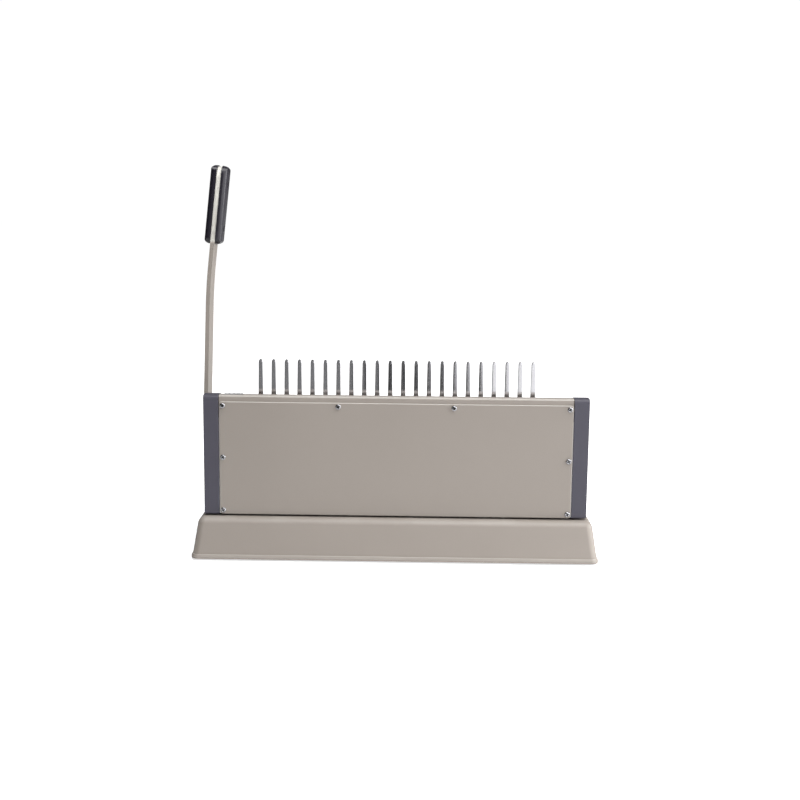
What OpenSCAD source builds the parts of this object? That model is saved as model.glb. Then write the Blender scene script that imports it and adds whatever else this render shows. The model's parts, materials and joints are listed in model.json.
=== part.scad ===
// Manual comb binding machine: rectangular-hole punch and comb opener worked by one side lever.
// Millimetres. Front is -Y, the lever is on the +X side, +Z is up, and Z = 0 is the feet's underside.

/* [Body] */
// Width over both end caps
body_w = 419; // [408:1:430]
// Thickness of each end cap
cap_t = 16.5; // [15:0.5:19]
// Height of the body above the base
body_h = 134; // [132:1:138]
// Thickness of the painted steel sheet
sheet_t = 1.2; // [1:0.1:1.5]

/* [Base] */
// Depth of the base at its bottom lip
base_d = 290; // [284:1:310]
// Height of the base
base_h = 45; // [44:1:47]
// How far the base reaches past the end caps at its bottom lip
base_reach = 14.5; // [13:0.5:20]
// Flare of the base walls, in degrees
flare = 9; // [6:0.5:11]
// Radius of the base corners
corner_r = 8; // [6:1:20]

/* [Punch] */
// Number of punched holes
holes = 21; // [15:1:21]
// Distance from hole to hole
pitch = 14.2875; // [14:0.0125:14.2875]
// Length of one rectangular hole
hole_w = 8; // [7:0.5:8.5]
// Width of one rectangular hole
hole_d = 2.9; // [2.5:0.1:3.2]
// Height of the paper throat
throat_h = 3; // [2.5:0.5:3.5]
// Travel of the punch carriage
stroke = 10; // [8:0.5:10]

/* [Lever] */
// Swing of the lever, in degrees
swing = 62; // [50:1:64]
// Height of the lever's tip when upright
lever_top = 428.5; // [410:0.5:440]
// Thickness of the lever bar
bar_t = 4.8; // [4:0.2:5.6]
// Lean of the lever's upper part towards the body, in degrees
lean = 6.2; // [4:0.2:7]

/* [Comb opener] */
// Height of the tine tips above the ridge
tine_rise = 36.5; // [28:0.5:45]
// Width of a tine at its root
tine_root_w = 6.4; // [5.5:0.1:7]
// Width of a tine below its rounded tip
tine_tip_w = 4.4; // [4:0.1:5]
// Radius of the opener cranks
crank_r = 23; // [20:1:24]

/* [Hidden] */
$fn = 48;
clear = 0.3;
foot_h = 2;
base_top = foot_h + base_h;
body_lo = base_top + 2;
body_hi = base_top + body_h;
half_w = body_w / 2;
cap_in = half_w - cap_t;
cover_x = cap_in - 0.5;
base_x = half_w + base_reach;
base_y = base_d / 2;
lip = 2.5;
lip_h = 5;
flare_run = base_h * tan(flare);
rim = lip + flare_run;
base_fillet = 7;
base_wall = 3;
rear_y = base_y - rim - 8;
panel_in = rear_y - sheet_t;

// Places across the depth, measured forward from the rear face
punch_y = rear_y - 85;
lift = stroke / (swing * PI / 180);
shaft_y = punch_y + lift;
tine_y = rear_y - 28;
hook_y = rear_y - 35.5;
ridge_y = rear_y - 14;
deck_y = rear_y - 72;
knee_y = rear_y - 100;
face_y = rear_y - 116;

// Heights
die_top = base_top + 1;
die_t = 7;
guide_lo = die_top + throat_h;
guide_t = 6;
guide_hi = guide_lo + guide_t;
bar_lo = guide_hi + 23;
bar_h = 12;
pad_t = 3;
pad_top = bar_lo + bar_h + pad_t;
cam_low = 18;
shaft_z = pad_top + cam_low;
deck_z = body_hi - 21;
knee_z = body_hi - 41;
brow_z = base_top + 29;
mouth_z = guide_hi + 2;
panel_top = body_hi - 7;
tine_top = body_hi + tine_rise;
tine_foot = deck_z - 17;

// Widths
web_x = half_w - 28;
web_t = 2.5;
plate_x = web_x;
throat_x = 162;
plate_y = 20;
shaft_r = 6;
rod_r = 4;
rod_x = 156;
cam_x = 120;
crank_x = 162;
ear_x = 168;
rail_x = 171;
run_fit = 0.05;
crank_angle = swing / 2;
hook_travel = 2 * crank_r * sin(swing / 2);
slot_y = shaft_y + crank_r * sin(crank_angle);
hook_plate_z = deck_z - 6;
arm_gap = 5.6;
arm_x = half_w + arm_gap + bar_t / 2;
arm_out = half_w + arm_gap + bar_t;
bolt_sink = 1.8;

// Lever bar: an upright foot, a slight lean, a bend under the grip, and a straight end in the grip
foot_lean = 1.8;
foot_z = 150;
bend_lo = lever_top - 162;
bend_hi = lever_top - 105;
grip_len = 87;
grip_z = lever_top - grip_len;
grip_t = 7.2;
grip_w = 26;

// Margin stop
stop_front = punch_y + 6.5;
stop_travel = 3;
stop_turn = 180;
stop_lift = stop_travel / (stop_turn * PI / 180);
stop_low = 6;
stop_flange = punch_y + 30;
dial_y = stop_flange + stop_low;
dial_z = base_top + 17;

// Rear panel screws: four along the top, then one at each side at two heights
screw_x = cap_in - 4.5;
rear_screws = concat(
    [for (i = [0:3]) [screw_x - i * screw_x * 2 / 3, panel_top - 4.4]],
    [for (s = [-1, 1], rise = [65.5, 6.5]) [s * screw_x, base_top + rise]]);

// ---------- Shared shapes ----------

// Unit normal on the left of the line from a to b
function left_of(a, b) = [a[1] - b[1], b[0] - a[0]] / norm(b - a);

// The bend points p of a sheet moved to its other face, t away on the left
function other_face(p, t) = [for (i = [0:len(p) - 1])
    let (last = len(p) - 1,
         m = left_of(p[max(i - 1, 0)], p[max(i, 1)]) + left_of(p[min(i, last - 1)], p[min(i + 1, last)]))
    p[i] + m * 2 * t / (m * m)];

// Closed outline [y, z, radius] moved inwards by t, its corner radii shrinking with it
function inset(p, t) = [for (i = [0:len(p) - 1])
    let (n = len(p), c = [p[i][0], p[i][1]],
         a = [p[(i + n - 1) % n][0], p[(i + n - 1) % n][1]],
         b = [p[(i + 1) % n][0], p[(i + 1) % n][1]],
         m = left_of(a, c) + left_of(c, b),
         o = c + m * 2 * t / (m * m))
    [o[0], o[1], max(p[i][2] - t, 0.5)]];

function reversed(p) = [for (i = [len(p) - 1:-1:0]) p[i]];

// Points of an outline with each corner [y, z, radius] rounded by an arc
function rounded(p, steps = 6) = [for (i = [0:len(p) - 1])
    let (n = len(p), r = p[i][2], c = [p[i][0], p[i][1]],
         a = [p[(i + n - 1) % n][0], p[(i + n - 1) % n][1]] - c,
         b = [p[(i + 1) % n][0], p[(i + 1) % n][1]] - c,
         ua = a / norm(a), ub = b / norm(b),
         half = acos(ua * ub) / 2,
         o = c + (ua + ub) / norm(ua + ub) * r / sin(half),
         first = c + ua * r / tan(half) - o,
         start = atan2(first[1], first[0]),
         sweep = (cross(ua, ub) < 0 ? 1 : -1) * (180 - 2 * half))
    each r == 0 ? [c] : [for (k = [0:steps]) o + r * [cos(start + sweep * k / steps), sin(start + sweep * k / steps)]]];

// An outline in Y and Z drawn out along X, from x0 to x1
module along_x(x0, x1) {
    translate([x0, 0, 0]) rotate([90, 0, 90]) linear_extrude(x1 - x0) children();
}

// An outline in X and Z drawn out along Y, from y0 to y1
module along_y(y0, y1) {
    translate([0, y1, 0]) rotate([90, 0, 0]) linear_extrude(y1 - y0) children();
}

// A box from its lowest to its highest corner
module box(lo, hi) {
    translate(lo) cube(hi - lo);
}

module rod_x(x0, x1, r) {
    translate([x0, 0, 0]) rotate([0, 90, 0]) cylinder(h = x1 - x0, r = r);
}

module both_sides() {
    children();
    mirror([1, 0, 0]) children();
}

module rounded_box_2d(w, d, r) {
    for (sx = [-1, 1], sy = [-1, 1]) translate([sx * (w - r), sy * (d - r)]) circle(r);
    square([2 * w, 2 * (d - r)], center = true);
    square([2 * (w - r), 2 * d], center = true);
}

// Pan head screw with a crossed slot: the head's seat at Z = 0, the shank below
module pan_screw(head_r = 3, head_h = 1.9, shank_r = 1.5, len = 7) {
    difference() {
        union() {
            rotate_extrude() polygon([[0, 0], [head_r, 0], [head_r, head_h * 0.35],
                [head_r * 0.92, head_h * 0.7], [head_r * 0.6, head_h * 0.95], [0, head_h]]);
            translate([0, 0, -len]) cylinder(h = len, r = shank_r);
        }
        for (a = [0, 90]) rotate([0, 0, a + 20])
            translate([0, 0, head_h]) cube([head_r * 1.15, 0.7, 2], center = true);
    }
}

// Socket head bolt: the head's seat at Z = 0, the shank below
module socket_bolt(head_r = 5, head_h = 5, shank_r = 3, len = 12) {
    difference() {
        union() {
            cylinder(h = head_h, r = head_r);
            translate([0, 0, -len]) cylinder(h = len, r = shank_r);
        }
        translate([0, 0, head_h - 3]) cylinder(h = 4, r = head_r * 0.55, $fn = 6);
    }
}

module flanged_bush(bore_r, body_r, flange_r, len, flange_t) {
    difference() {
        union() {
            cylinder(h = len, r = body_r);
            cylinder(h = flange_t, r = flange_r);
        }
        translate([0, 0, -1]) cylinder(h = len + 2, r = bore_r);
    }
}

module knurled_knob(r, h, ribs = 24) {
    difference() {
        cylinder(h = h, r = r);
        for (i = [0:ribs - 1]) rotate([0, 0, i * 360 / ribs])
            translate([r, 0, -1]) cylinder(h = h - 1, r = r * PI / ribs / 2.2, $fn = 16);
    }
}

// Centres of the tines and of the hooks between them
tine_xs = [for (i = [0:holes]) (i - holes / 2) * pitch];
hole_xs = [for (i = [0:holes - 1]) (i - (holes - 1) / 2) * pitch];

// ---------- Base ----------

module base_level(z, inset, wall) {
    translate([0, 0, z]) linear_extrude(0.02)
        rounded_box_2d(base_x - inset - wall, base_y - inset - wall, corner_r - wall, $fn = 32);
}

// The flared form of the base; a wall of 0 gives its outside
module base_form(wall, low) {
    hull() {
        base_level(low, lip + (low - foot_h) * tan(flare), wall);
        for (a = [0:22.5:90]) {
            depth = base_fillet * (1 - cos(90 - a));
            z = base_top - wall - depth - 0.02;
            base_level(z, lip + (z - foot_h) * tan(flare) + base_fillet * (1 - cos(a)) * 0.9, wall);
        }
    }
}

module base_lip() {
    difference() {
        translate([0, 0, foot_h]) linear_extrude(lip_h)
            rounded_box_2d(base_x, base_y, corner_r, $fn = 64);
        translate([0, 0, foot_h - 1]) linear_extrude(lip_h + 2)
            rounded_box_2d(base_x - lip - 3, base_y - lip - 3, corner_r - 4, $fn = 64);
    }
}

module base_shell() {
    color([0.67, 0.63, 0.58]) {
        difference() {
            union() {
                difference() {
                    base_form(0, foot_h);
                    base_form(base_wall, foot_h - 1);
                }
                base_lip();
                for (p = plate_screws) translate([p[0], p[1], foot_h + 2.2])
                    cylinder(h = base_h - 4, r = 4.5);
            }
            // chip chute under the die, with room for the die, the side frames' tabs and their bolts
            box([-tab_x, punch_y - plate_y - 1, base_top - 12], [tab_x, punch_y + plate_y + 1, base_top + 1]);
            // drawer mouth in the front wall
            box([-drawer_x - 1.5, -base_y - 1, drawer_lo - 1], [drawer_x + 1.5, -base_y + 25, drawer_hi + 1.5]);
            guide_slot(base_top - 10, base_top + 1);
            for (p = frame_screws) translate([p[0], p[1], base_top - 10]) cylinder(h = 12, r = 2.6);
            for (p = plate_screws) translate([p[0], p[1], 0]) cylinder(h = 18, r = 1.7);
        }
    }
}

tab_x = web_x + web_t + 4.5;
frame_screws = [for (s = [-1, 1], y = [72, 102]) [s * (web_x + web_t + 4.5), y]];
plate_screws = [for (sx = [-1, 1], sy = [-1, 1]) [sx * 196, sy * 92]];

module bottom_plate() {
    color([0.62, 0.63, 0.64]) difference() {
        translate([0, 0, foot_h + 0.5]) linear_extrude(1.5)
            rounded_box_2d(base_x - rim, base_y - rim, corner_r - 5);
        for (p = plate_screws) translate([p[0], p[1], 0]) cylinder(h = 10, r = 1.8);
    }
}

module bottom_plate_screws() {
    color([0.75, 0.75, 0.76]) for (p = plate_screws)
        translate([p[0], p[1], foot_h + 0.5]) rotate([180, 0, 0])
            pan_screw(head_r = 3, head_h = 1.6, shank_r = 1.6, len = 12);
}

module rubber_feet() {
    color([0.12, 0.12, 0.13]) for (sx = [-1, 1], sy = [-1, 1])
        translate([sx * 188, sy * 116, 0]) difference() {
            rotate_extrude() polygon([[0, 0], [9, 0], [9.6, 0.8], [10, foot_h + 0.5], [0, foot_h + 0.5]]);
            translate([0, 0, -1]) cylinder(h = 2.2, r = 4);
        }
}

drawer_x = 150;
drawer_lo = 10;
drawer_hi = base_top - 12;
drawer_back = punch_y + 26;

module drawer_rails() {
    color([0.62, 0.63, 0.64]) both_sides()
        along_y(-118, drawer_back + 4)
            polygon([[drawer_x + 1, foot_h + 2], [drawer_x + 12, foot_h + 2], [drawer_x + 12, foot_h + 3.5],
                [drawer_x + 2.5, foot_h + 3.5], [drawer_x + 2.5, 22], [drawer_x + 1, 22],
                [drawer_x + 1, drawer_lo - clear], [drawer_x - 6, drawer_lo - clear],
                [drawer_x - 6, drawer_lo - clear - 1.5], [drawer_x + 1, drawer_lo - clear - 1.5]]);
}

// Outside of the front wall at a height
function wall_y(z) = -(base_y - lip - (z - foot_h) * tan(flare));

module chip_drawer() {
    color([0.30, 0.30, 0.33]) difference() {
        box([-drawer_x, wall_y(drawer_hi) + 5, drawer_lo], [drawer_x, drawer_back, drawer_hi - 4]);
        box([-drawer_x + 2, wall_y(drawer_hi) + 7, drawer_lo + 2], [drawer_x - 2, drawer_back - 2, drawer_hi]);
    }
}

module drawer_face() {
    color([0.67, 0.63, 0.58]) difference() {
        along_x(-drawer_x, drawer_x)
            polygon([[wall_y(drawer_lo), drawer_lo], [wall_y(drawer_hi), drawer_hi],
                [wall_y(drawer_hi) + 5, drawer_hi], [wall_y(drawer_hi) + 5, drawer_lo]]);
        // finger scoop
        translate([0, wall_y(drawer_hi) - 9, drawer_hi + 2]) rotate([0, 90, 0])
            cylinder(h = 76, r = 12, center = true);
    }
}

module paper_table() {
    color([0.70, 0.71, 0.72]) difference() {
        box([-throat_x - 16, -base_y + 42, base_top], [throat_x + 16, punch_y - plate_y - 1.5, die_top]);
        guide_slot(base_top - 1, die_top + 1);
        // channel that the edge guide slides in
        box([-throat_x - 17, -94, channel_z], [guide_x + guide_travel + 10, 8, die_top + 1]);
    }
}

channel_z = base_top + 0.4;

// ---------- Side frames and covers ----------

// Outer bend points of the front cover, from the deck down to the throat
front_bends = [[deck_y + 5, deck_z - sheet_t, 0], [deck_y - 0.5, deck_z - sheet_t, 4], [knee_y, knee_z, 8],
    [face_y, brow_z, 12], [face_y, mouth_z, 0]];

cap_outline = [[rear_y, body_lo, 1.5], [rear_y, body_hi, 4], [ridge_y - 2, body_hi, 8],
    [deck_y + 4, body_hi - 12, 14], [knee_y - 5, knee_z + 5, 14], [face_y - 8, brow_z, 20],
    [face_y - 9, body_lo, 3]];

frame_outline = [[panel_in - 15, base_top], [panel_in - 0.1, base_top + 6], [panel_in - 0.1, deck_z - 4],
    [ridge_y - 7, deck_z - 4], [ridge_y - 7, deck_z - 2.5], [deck_y + 8, deck_z - 2.5],
    [knee_y + 6, knee_z - 4], [face_y + 5, brow_z], [face_y + 5, base_top]];

module side_frame() {
    difference() {
        union() {
            along_x(web_x, web_x + web_t) polygon(frame_outline);
            // rear flange, which takes the panel screws
            box([web_x, panel_in - 2.6, body_lo + 1], [cap_in - 0.2, panel_in - 0.1, deck_z - 4]);
            // foot flange on the base, behind the die
            box([web_x, punch_y + plate_y + 2, base_top], [cap_in - 0.2, panel_in - 15, base_top + 2.5]);
            // tab down to the end of the die
            box([web_x, punch_y - plate_y, die_top - die_t], [web_x + web_t, punch_y + plate_y, base_top + 1]);
        }
        translate([0, shaft_y, shaft_z]) rod_x(web_x - 1, web_x + web_t + 1, 9);
        translate([0, dial_y, dial_z]) rod_x(web_x - 1, web_x + web_t + 1, 3 + run_fit);
        for (p = side_bolts) translate([0, p[0], p[1]]) rod_x(web_x - 1, web_x + web_t + 1, 3.1);
        for (p = frame_screws) translate([abs(p[0]), p[1], base_top - 1]) cylinder(h = 5, r = 2.6);
        for (p = rear_screws) if (p[0] > 0 && p[1] < deck_z) translate([p[0], panel_in + 1, p[1]])
            rotate([90, 0, 0]) cylinder(h = 5, r = 1.55);
        // window that lightens the web
        along_x(web_x - 1, web_x + web_t + 1)
            polygon(rounded([[rear_y - 30, base_top + 22, 6], [rear_y - 22, base_top + 70, 6],
                [rear_y - 22, base_top + 98, 6], [rear_y - 42, base_top + 98, 6], [rear_y - 42, base_top + 22, 6]]));
    }
}

tie_y = [face_y + 14, rear_y - 12];
tie_z = [base_top + 33, base_top + 73];
side_bolts = [[punch_y - 12, die_top - die_t / 2], [punch_y + 12, die_top - die_t / 2],
    [tie_y[0], tie_z[0]], [tie_y[1], tie_z[1]]];

module right_side_frame() { color([0.60, 0.61, 0.63]) side_frame(); }

module left_side_frame() { color([0.60, 0.61, 0.63]) mirror([1, 0, 0]) side_frame(); }

module frame_bolts() {
    color([0.55, 0.56, 0.58]) {
        for (p = frame_screws) translate([p[0], p[1], base_top + 2.5])
            socket_bolt(head_r = 4, head_h = 3.5, shank_r = 2.5, len = 9);
        both_sides() for (p = side_bolts) translate([web_x + web_t, p[0], p[1]])
            rotate([0, 90, 0]) socket_bolt(head_r = 5, head_h = 3.5, shank_r = 3, len = 2.4 + 8);
    }
}

module tie_rods() {
    color([0.62, 0.63, 0.64]) for (i = [0, 1]) translate([0, tie_y[i], tie_z[i]]) difference() {
        rod_x(-web_x, web_x, 5);
        both_sides() rod_x(web_x - 9, web_x + 1, 3);
    }
}

cap_wall = 2.5;

module end_cap(pass_y, pass_z, pass_r) {
    difference() {
        along_x(cap_in, half_w) polygon(rounded(cap_outline));
        // hollow, open towards the side frame
        difference() {
            along_x(cap_in - 1, half_w - cap_wall) polygon(rounded(inset(cap_outline, cap_wall)));
            for (p = cap_screws) translate([0, p[0], p[1]]) rod_x(cap_in, half_w, 5);
        }
        translate([0, pass_y, pass_z]) rod_x(cap_in - 1, half_w + 1, pass_r);
        for (p = cap_screws) translate([0, p[0], p[1]]) {
            rod_x(cap_in - 1, half_w + 1, 1.7);
            rod_x(half_w - 3, half_w + 1, 3.6);
        }
    }
}

cap_screws = [[rear_y - 14, base_top + 15], [rear_y - 14, base_top + 111], [face_y + 6, base_top + 13],
    [knee_y + 12, base_top + 85]];

module right_end_cap() { color([0.33, 0.33, 0.38]) end_cap(shaft_y, shaft_z, shaft_r + 2); }

module left_end_cap() { color([0.33, 0.33, 0.38]) mirror([1, 0, 0]) end_cap(dial_y, dial_z, 3.6); }

module end_cap_screws() {
    color([0.75, 0.75, 0.76]) both_sides() for (p = cap_screws)
        translate([half_w - 3, p[0], p[1]]) rotate([0, 90, 0])
            pan_screw(head_r = 3.2, head_h = 2, shank_r = 1.6, len = cap_t - 4);
}

// Bent sheet between the caps: bend points [y, z, radius] of its outer face, its thickness on the left
module sheet(bends) {
    face = rounded(bends, 4);
    along_x(-cover_x, cover_x) polygon(concat(face, reversed(other_face(face, sheet_t))));
}

module top_cover() {
    ridge = [[panel_in, panel_top - 12, 0], [panel_in, body_hi, 3], [ridge_y, body_hi, 3],
        [ridge_y, deck_z - 2.4, 0.6], [ridge_y - 5, deck_z - 2.4, 0]];
    color([0.72, 0.68, 0.63]) difference() {
        sheet(ridge);
        for (p = rear_screws) if (p[1] > deck_z) translate([p[0], panel_in + 1, p[1]])
            rotate([90, 0, 0]) cylinder(h = 5, r = 1.55);
    }
}

module opener_deck() {
    color([0.72, 0.68, 0.63]) difference() {
        box([-cover_x, deck_y, deck_z - sheet_t], [cover_x, ridge_y - 0.1, deck_z]);
        for (x = tine_xs) box([x - 3.7, tine_y - 2, deck_z - 3], [x + 3.7, tine_y + 2, deck_z + 1]);
        for (x = hole_xs) box([x - 3, hook_y - hook_travel - 5.5 - 3, deck_z - 3], [x + 3, hook_y + 2.5, deck_z + 1]);
    }
}

module front_cover() {
    color([0.72, 0.68, 0.63]) difference() {
        sheet(front_bends);
        for (p = front_screws) translate([p, face_y - 1, cover_screw_z])
            rotate([-90, 0, 0]) cylinder(h = 5, r = 1.7);
    }
}

front_screws = [-178, -60, 60, 178];
cover_screw_z = base_top + 19;

module front_cover_screws() {
    color([0.75, 0.75, 0.76]) for (x = front_screws) translate([x, face_y, cover_screw_z])
        rotate([90, 0, 0]) pan_screw(len = 6);
}

module rear_panel() {
    color([0.67, 0.63, 0.60]) difference() {
        translate([0, 0, (body_lo + panel_top) / 2]) along_y(panel_in, rear_y)
            rounded_box_2d(cover_x, (panel_top - body_lo) / 2, 3.5);
        for (p = rear_screws) translate([p[0], rear_y + 1, p[1]]) rotate([90, 0, 0]) cylinder(h = 4, r = 1.6);
    }
}

module rear_panel_screws() {
    color([0.78, 0.77, 0.75]) for (p = rear_screws) translate([p[0], rear_y, p[1]])
        rotate([-90, 0, 0]) pan_screw(len = 6);
}

// Ring size gauge: a plate on the ridge with half-round notches of growing size
module ring_gauge() {
    color([0.16, 0.16, 0.18]) difference() {
        box([cap_in - 26, ridge_y + 3.2, body_hi], [cap_in - 6, panel_in - 3.2, body_hi + 0.7]);
        for (i = [0:3]) translate([cap_in - 23 + i * 4.8, ridge_y + 3.2, body_hi - 1])
            cylinder(h = 3, r = 0.9 + i * 0.4);
    }
}

// ---------- Punch ----------

module pin_holes(play, z0, z1) {
    for (x = hole_xs) box([x - hole_w / 2 - play, punch_y - hole_d / 2 - play, z0],
        [x + hole_w / 2 + play, punch_y + hole_d / 2 + play, z1]);
}

module punch_block(z0, z1) {
    difference() {
        box([-plate_x, punch_y - plate_y, z0], [plate_x, punch_y + plate_y, z1]);
        pin_holes(0.15, z0 - 1, z1 + 1);
        for (p = die_bolt_places) translate([p[0], p[1], z0 - 1]) cylinder(h = z1 - z0 + 2, r = 3);
    }
}

die_bolt_places = [for (s = [-1, 1], y = [-13, 13]) [s * 167, punch_y + y]];

module die_plate() {
    color([0.50, 0.51, 0.53]) difference() {
        punch_block(die_top - die_t, die_top);
        both_sides() for (i = [0, 1]) translate([0, side_bolts[i][0], side_bolts[i][1]])
            rod_x(plate_x - 8, plate_x + 1, 3);
    }
}

module guide_plate() {
    color([0.55, 0.56, 0.58]) difference() {
        punch_block(guide_lo, guide_hi);
        both_sides() translate([rod_x, punch_y, guide_lo - 1]) cylinder(h = guide_t + 2, r = rod_r);
    }
}

module die_spacers() {
    color([0.50, 0.51, 0.53]) difference() {
        both_sides() box([throat_x, punch_y - plate_y, die_top], [plate_x, punch_y + plate_y, guide_lo]);
        for (p = die_bolt_places) translate([p[0], p[1], die_top - 1]) cylinder(h = 5, r = 3);
    }
}

module die_bolts() {
    color([0.30, 0.30, 0.32]) for (p = die_bolt_places) translate([p[0], p[1], guide_hi])
        socket_bolt(head_r = 4.5, head_h = 5, len = guide_t + throat_h + die_t - 1);
}

module guide_rods() {
    color([0.78, 0.79, 0.80]) both_sides() translate([rod_x, punch_y, guide_lo])
        rotate_extrude() polygon([[0, 0], [rod_r, 0], [rod_r, bar_lo + bar_h + 7 - guide_lo],
            [rod_r - 1, bar_lo + bar_h + 8 - guide_lo], [0, bar_lo + bar_h + 8 - guide_lo]]);
}

module punch_bar() {
    color([0.42, 0.43, 0.45]) difference() {
        box([-rod_x - 10, punch_y - 10, bar_lo], [rod_x + 10, punch_y + 10, bar_lo + bar_h]);
        // groove for the pin heads
        box([-150, punch_y - 2.6, bar_lo - 1], [150, punch_y + 2.6, bar_lo + 3]);
        both_sides() translate([rod_x, punch_y, bar_lo - 1]) cylinder(h = bar_h + 2, r = 6.5);
    }
}

module pin_retainer() {
    color([0.55, 0.56, 0.58]) difference() {
        box([-148, punch_y - 9, bar_lo - 2], [148, punch_y + 9, bar_lo]);
        pin_holes(0.1, bar_lo - 3, bar_lo + 1);
    }
}

module punch_pins() {
    color([0.70, 0.71, 0.73]) for (x = hole_xs) translate([x, punch_y, 0]) {
        box([-hole_w / 2, -hole_d / 2, guide_lo + 1], [hole_w / 2, hole_d / 2, bar_lo + 0.5]);
        box([-hole_w / 2 - 0.8, -2.5, bar_lo], [hole_w / 2 + 0.8, 2.5, bar_lo + 2.9]);
    }
}

module carriage_bushes() {
    color([0.72, 0.55, 0.30]) both_sides() translate([rod_x, punch_y, bar_lo + bar_h + 1.5])
        mirror([0, 0, 1]) flanged_bush(rod_r + run_fit, 6.5, 8.5, bar_h + 1.5, 1.5);
}

module cam_pads() {
    color([0.25, 0.25, 0.27]) both_sides()
        box([cam_x - 9, punch_y - 9, bar_lo + bar_h], [cam_x + 9, punch_y + 9, pad_top]);
}

// Compression springs round the guide rods: wire rings swept along a helix
spring_turns = 6;
spring_steps = 14;
spring_sides = 6;
spring_r = 6.6;
wire_r = 0.8;

module helix_spring(len) {
    rings = spring_turns * spring_steps;
    rise = (len - 2 * wire_r) / rings;
    points = [for (i = [0:rings], k = [0:spring_sides - 1])
        let (a = i * 360 / spring_steps, b = k * 360 / spring_sides, r = spring_r + wire_r * cos(b))
        [r * cos(a), r * sin(a), wire_r + i * rise + wire_r * sin(b)]];
    walls = [for (i = [0:rings - 1], k = [0:spring_sides - 1])
        let (n = (k + 1) % spring_sides, lo = i * spring_sides, hi = lo + spring_sides)
        [lo + k, hi + k, hi + n, lo + n]];
    polyhedron(points, concat(walls, [[for (k = [0:spring_sides - 1]) k],
        [for (k = [spring_sides - 1:-1:0]) rings * spring_sides + k]]));
}

module return_springs() {
    color([0.66, 0.67, 0.68]) for (s = [-1, 1]) translate([s * rod_x, punch_y, guide_hi + 0.05])
        helix_spring(bar_lo - guide_hi - 0.1);
}

// ---------- Lever and shaft ----------

module drive_shaft() {
    color([0.72, 0.73, 0.74]) translate([0, shaft_y, shaft_z]) difference() {
        rod_x(-web_x - 8, arm_out - bolt_sink, shaft_r);
        rod_x(arm_out - bolt_sink - 18, half_w + 20, 2.5);
    }
}

module shaft_bushes() {
    color([0.72, 0.55, 0.30]) both_sides() translate([web_x - 1.5, shaft_y, shaft_z])
        rotate([0, 90, 0]) flanged_bush(shaft_r + run_fit, 9, 12, web_t + 3, 1.5);
}

// Lobe whose flat follower moves in proportion to the turn: an involute of the lift circle
function lobe(low, rise, a0, a1, step) = [for (a = [a0:step:a1])
    let (h = low + rise * a * PI / 180) h * [-sin(a), -cos(a)] + rise * [-cos(a), sin(a)]];

module cam_outline(low, rise, a1, hub_r) {
    polygon(concat([[0, 0]], lobe(low, rise, -12, a1 + 4, 4)));
    circle(hub_r);
}

module punch_cams() {
    color([0.48, 0.49, 0.51]) both_sides() translate([0, shaft_y, shaft_z]) difference() {
        along_x(cam_x - 5, cam_x + 5) cam_outline(cam_low - 0.08, lift, swing, 12);
        rod_x(cam_x - 6, cam_x + 6, shaft_r);
        translate([cam_x, 0, 0]) cylinder(h = 20, r = 2);
    }
}

module opener_cranks() {
    color([0.55, 0.56, 0.58]) both_sides() translate([0, shaft_y, shaft_z]) difference() {
        rotate([crank_angle - swing, 0, 0]) union() {
            rod_x(crank_x, crank_x + 4, 11);
            translate([0, 0, crank_r]) rod_x(crank_x, crank_x + 4, 6);
            along_x(crank_x, crank_x + 4) polygon([[-10, 4], [-5.5, crank_r + 2], [5.5, crank_r + 2], [10, 4]]);
        }
        rod_x(crank_x - 1, crank_x + 5, shaft_r);
        translate([0, crank_r * sin(crank_angle), crank_r * cos(crank_angle)])
            rod_x(crank_x - 1, crank_x + 5, 3);
    }
}

module crank_pins() {
    color([0.72, 0.73, 0.74]) both_sides()
        translate([0, slot_y, shaft_z + crank_r * cos(crank_angle)]) {
            rod_x(crank_x, ear_x + 3, 3);
            rod_x(crank_x - 1.2, crank_x, 4.2);
        }
}

module shaft_collars() {
    color([0.50, 0.51, 0.53]) both_sides() translate([0, shaft_y, shaft_z]) difference() {
        rod_x(web_x - 8.2, web_x - 1.7, 10.5);
        rod_x(web_x - 9, web_x, shaft_r);
        translate([web_x - 5, 0, 0]) cylinder(h = 20, r = 1.6);
    }
}

module handle_hub() {
    color([0.30, 0.30, 0.33]) translate([0, shaft_y, shaft_z]) difference() {
        rod_x(half_w + 0.8, half_w + arm_gap, 14);
        rod_x(half_w, half_w + arm_gap + 1, shaft_r);
    }
}

// Middle of the lever bar's thickness, as [inward shift, height]
function bend_shift(z) =
    z <= foot_z ? 0
    : z <= bend_lo ? (z - foot_z) * tan(foot_lean)
    : z <= bend_hi ? bend_shift(bend_lo) + (z - bend_lo) * tan(foot_lean)
        + pow(z - bend_lo, 2) * (tan(lean) - tan(foot_lean)) / (2 * (bend_hi - bend_lo))
    : bend_shift(bend_hi) + (z - bend_hi) * tan(lean);

bar_zs = concat([shaft_z - 20, foot_z - 8, foot_z + 8], [for (i = [0:6]) bend_lo + i * (bend_hi - bend_lo) / 6],
    [lever_top + 5]);
bar_line = [for (z = bar_zs) [arm_x + bar_t / 2 - bend_shift(z), z]];

// Outline of the bar seen from the side: an eye round the shaft, tapering to a rounded end in the grip
eye_r = 15;
bar_tip_w = grip_w / 2 - 0.7;

module bar_side() {
    polygon(rounded([[shaft_y - eye_r, shaft_z - eye_r, eye_r - 0.1], [shaft_y - eye_r, shaft_z + 14, 20],
        [shaft_y - bar_tip_w, grip_z, 60], [shaft_y - bar_tip_w, lever_top - 1.5, bar_tip_w - 0.1],
        [shaft_y + bar_tip_w, lever_top - 1.5, bar_tip_w - 0.1], [shaft_y + bar_tip_w, grip_z, 60],
        [shaft_y + eye_r, shaft_z + 14, 20], [shaft_y + eye_r, shaft_z - eye_r, eye_r - 0.1]], steps = 10));
}

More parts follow.
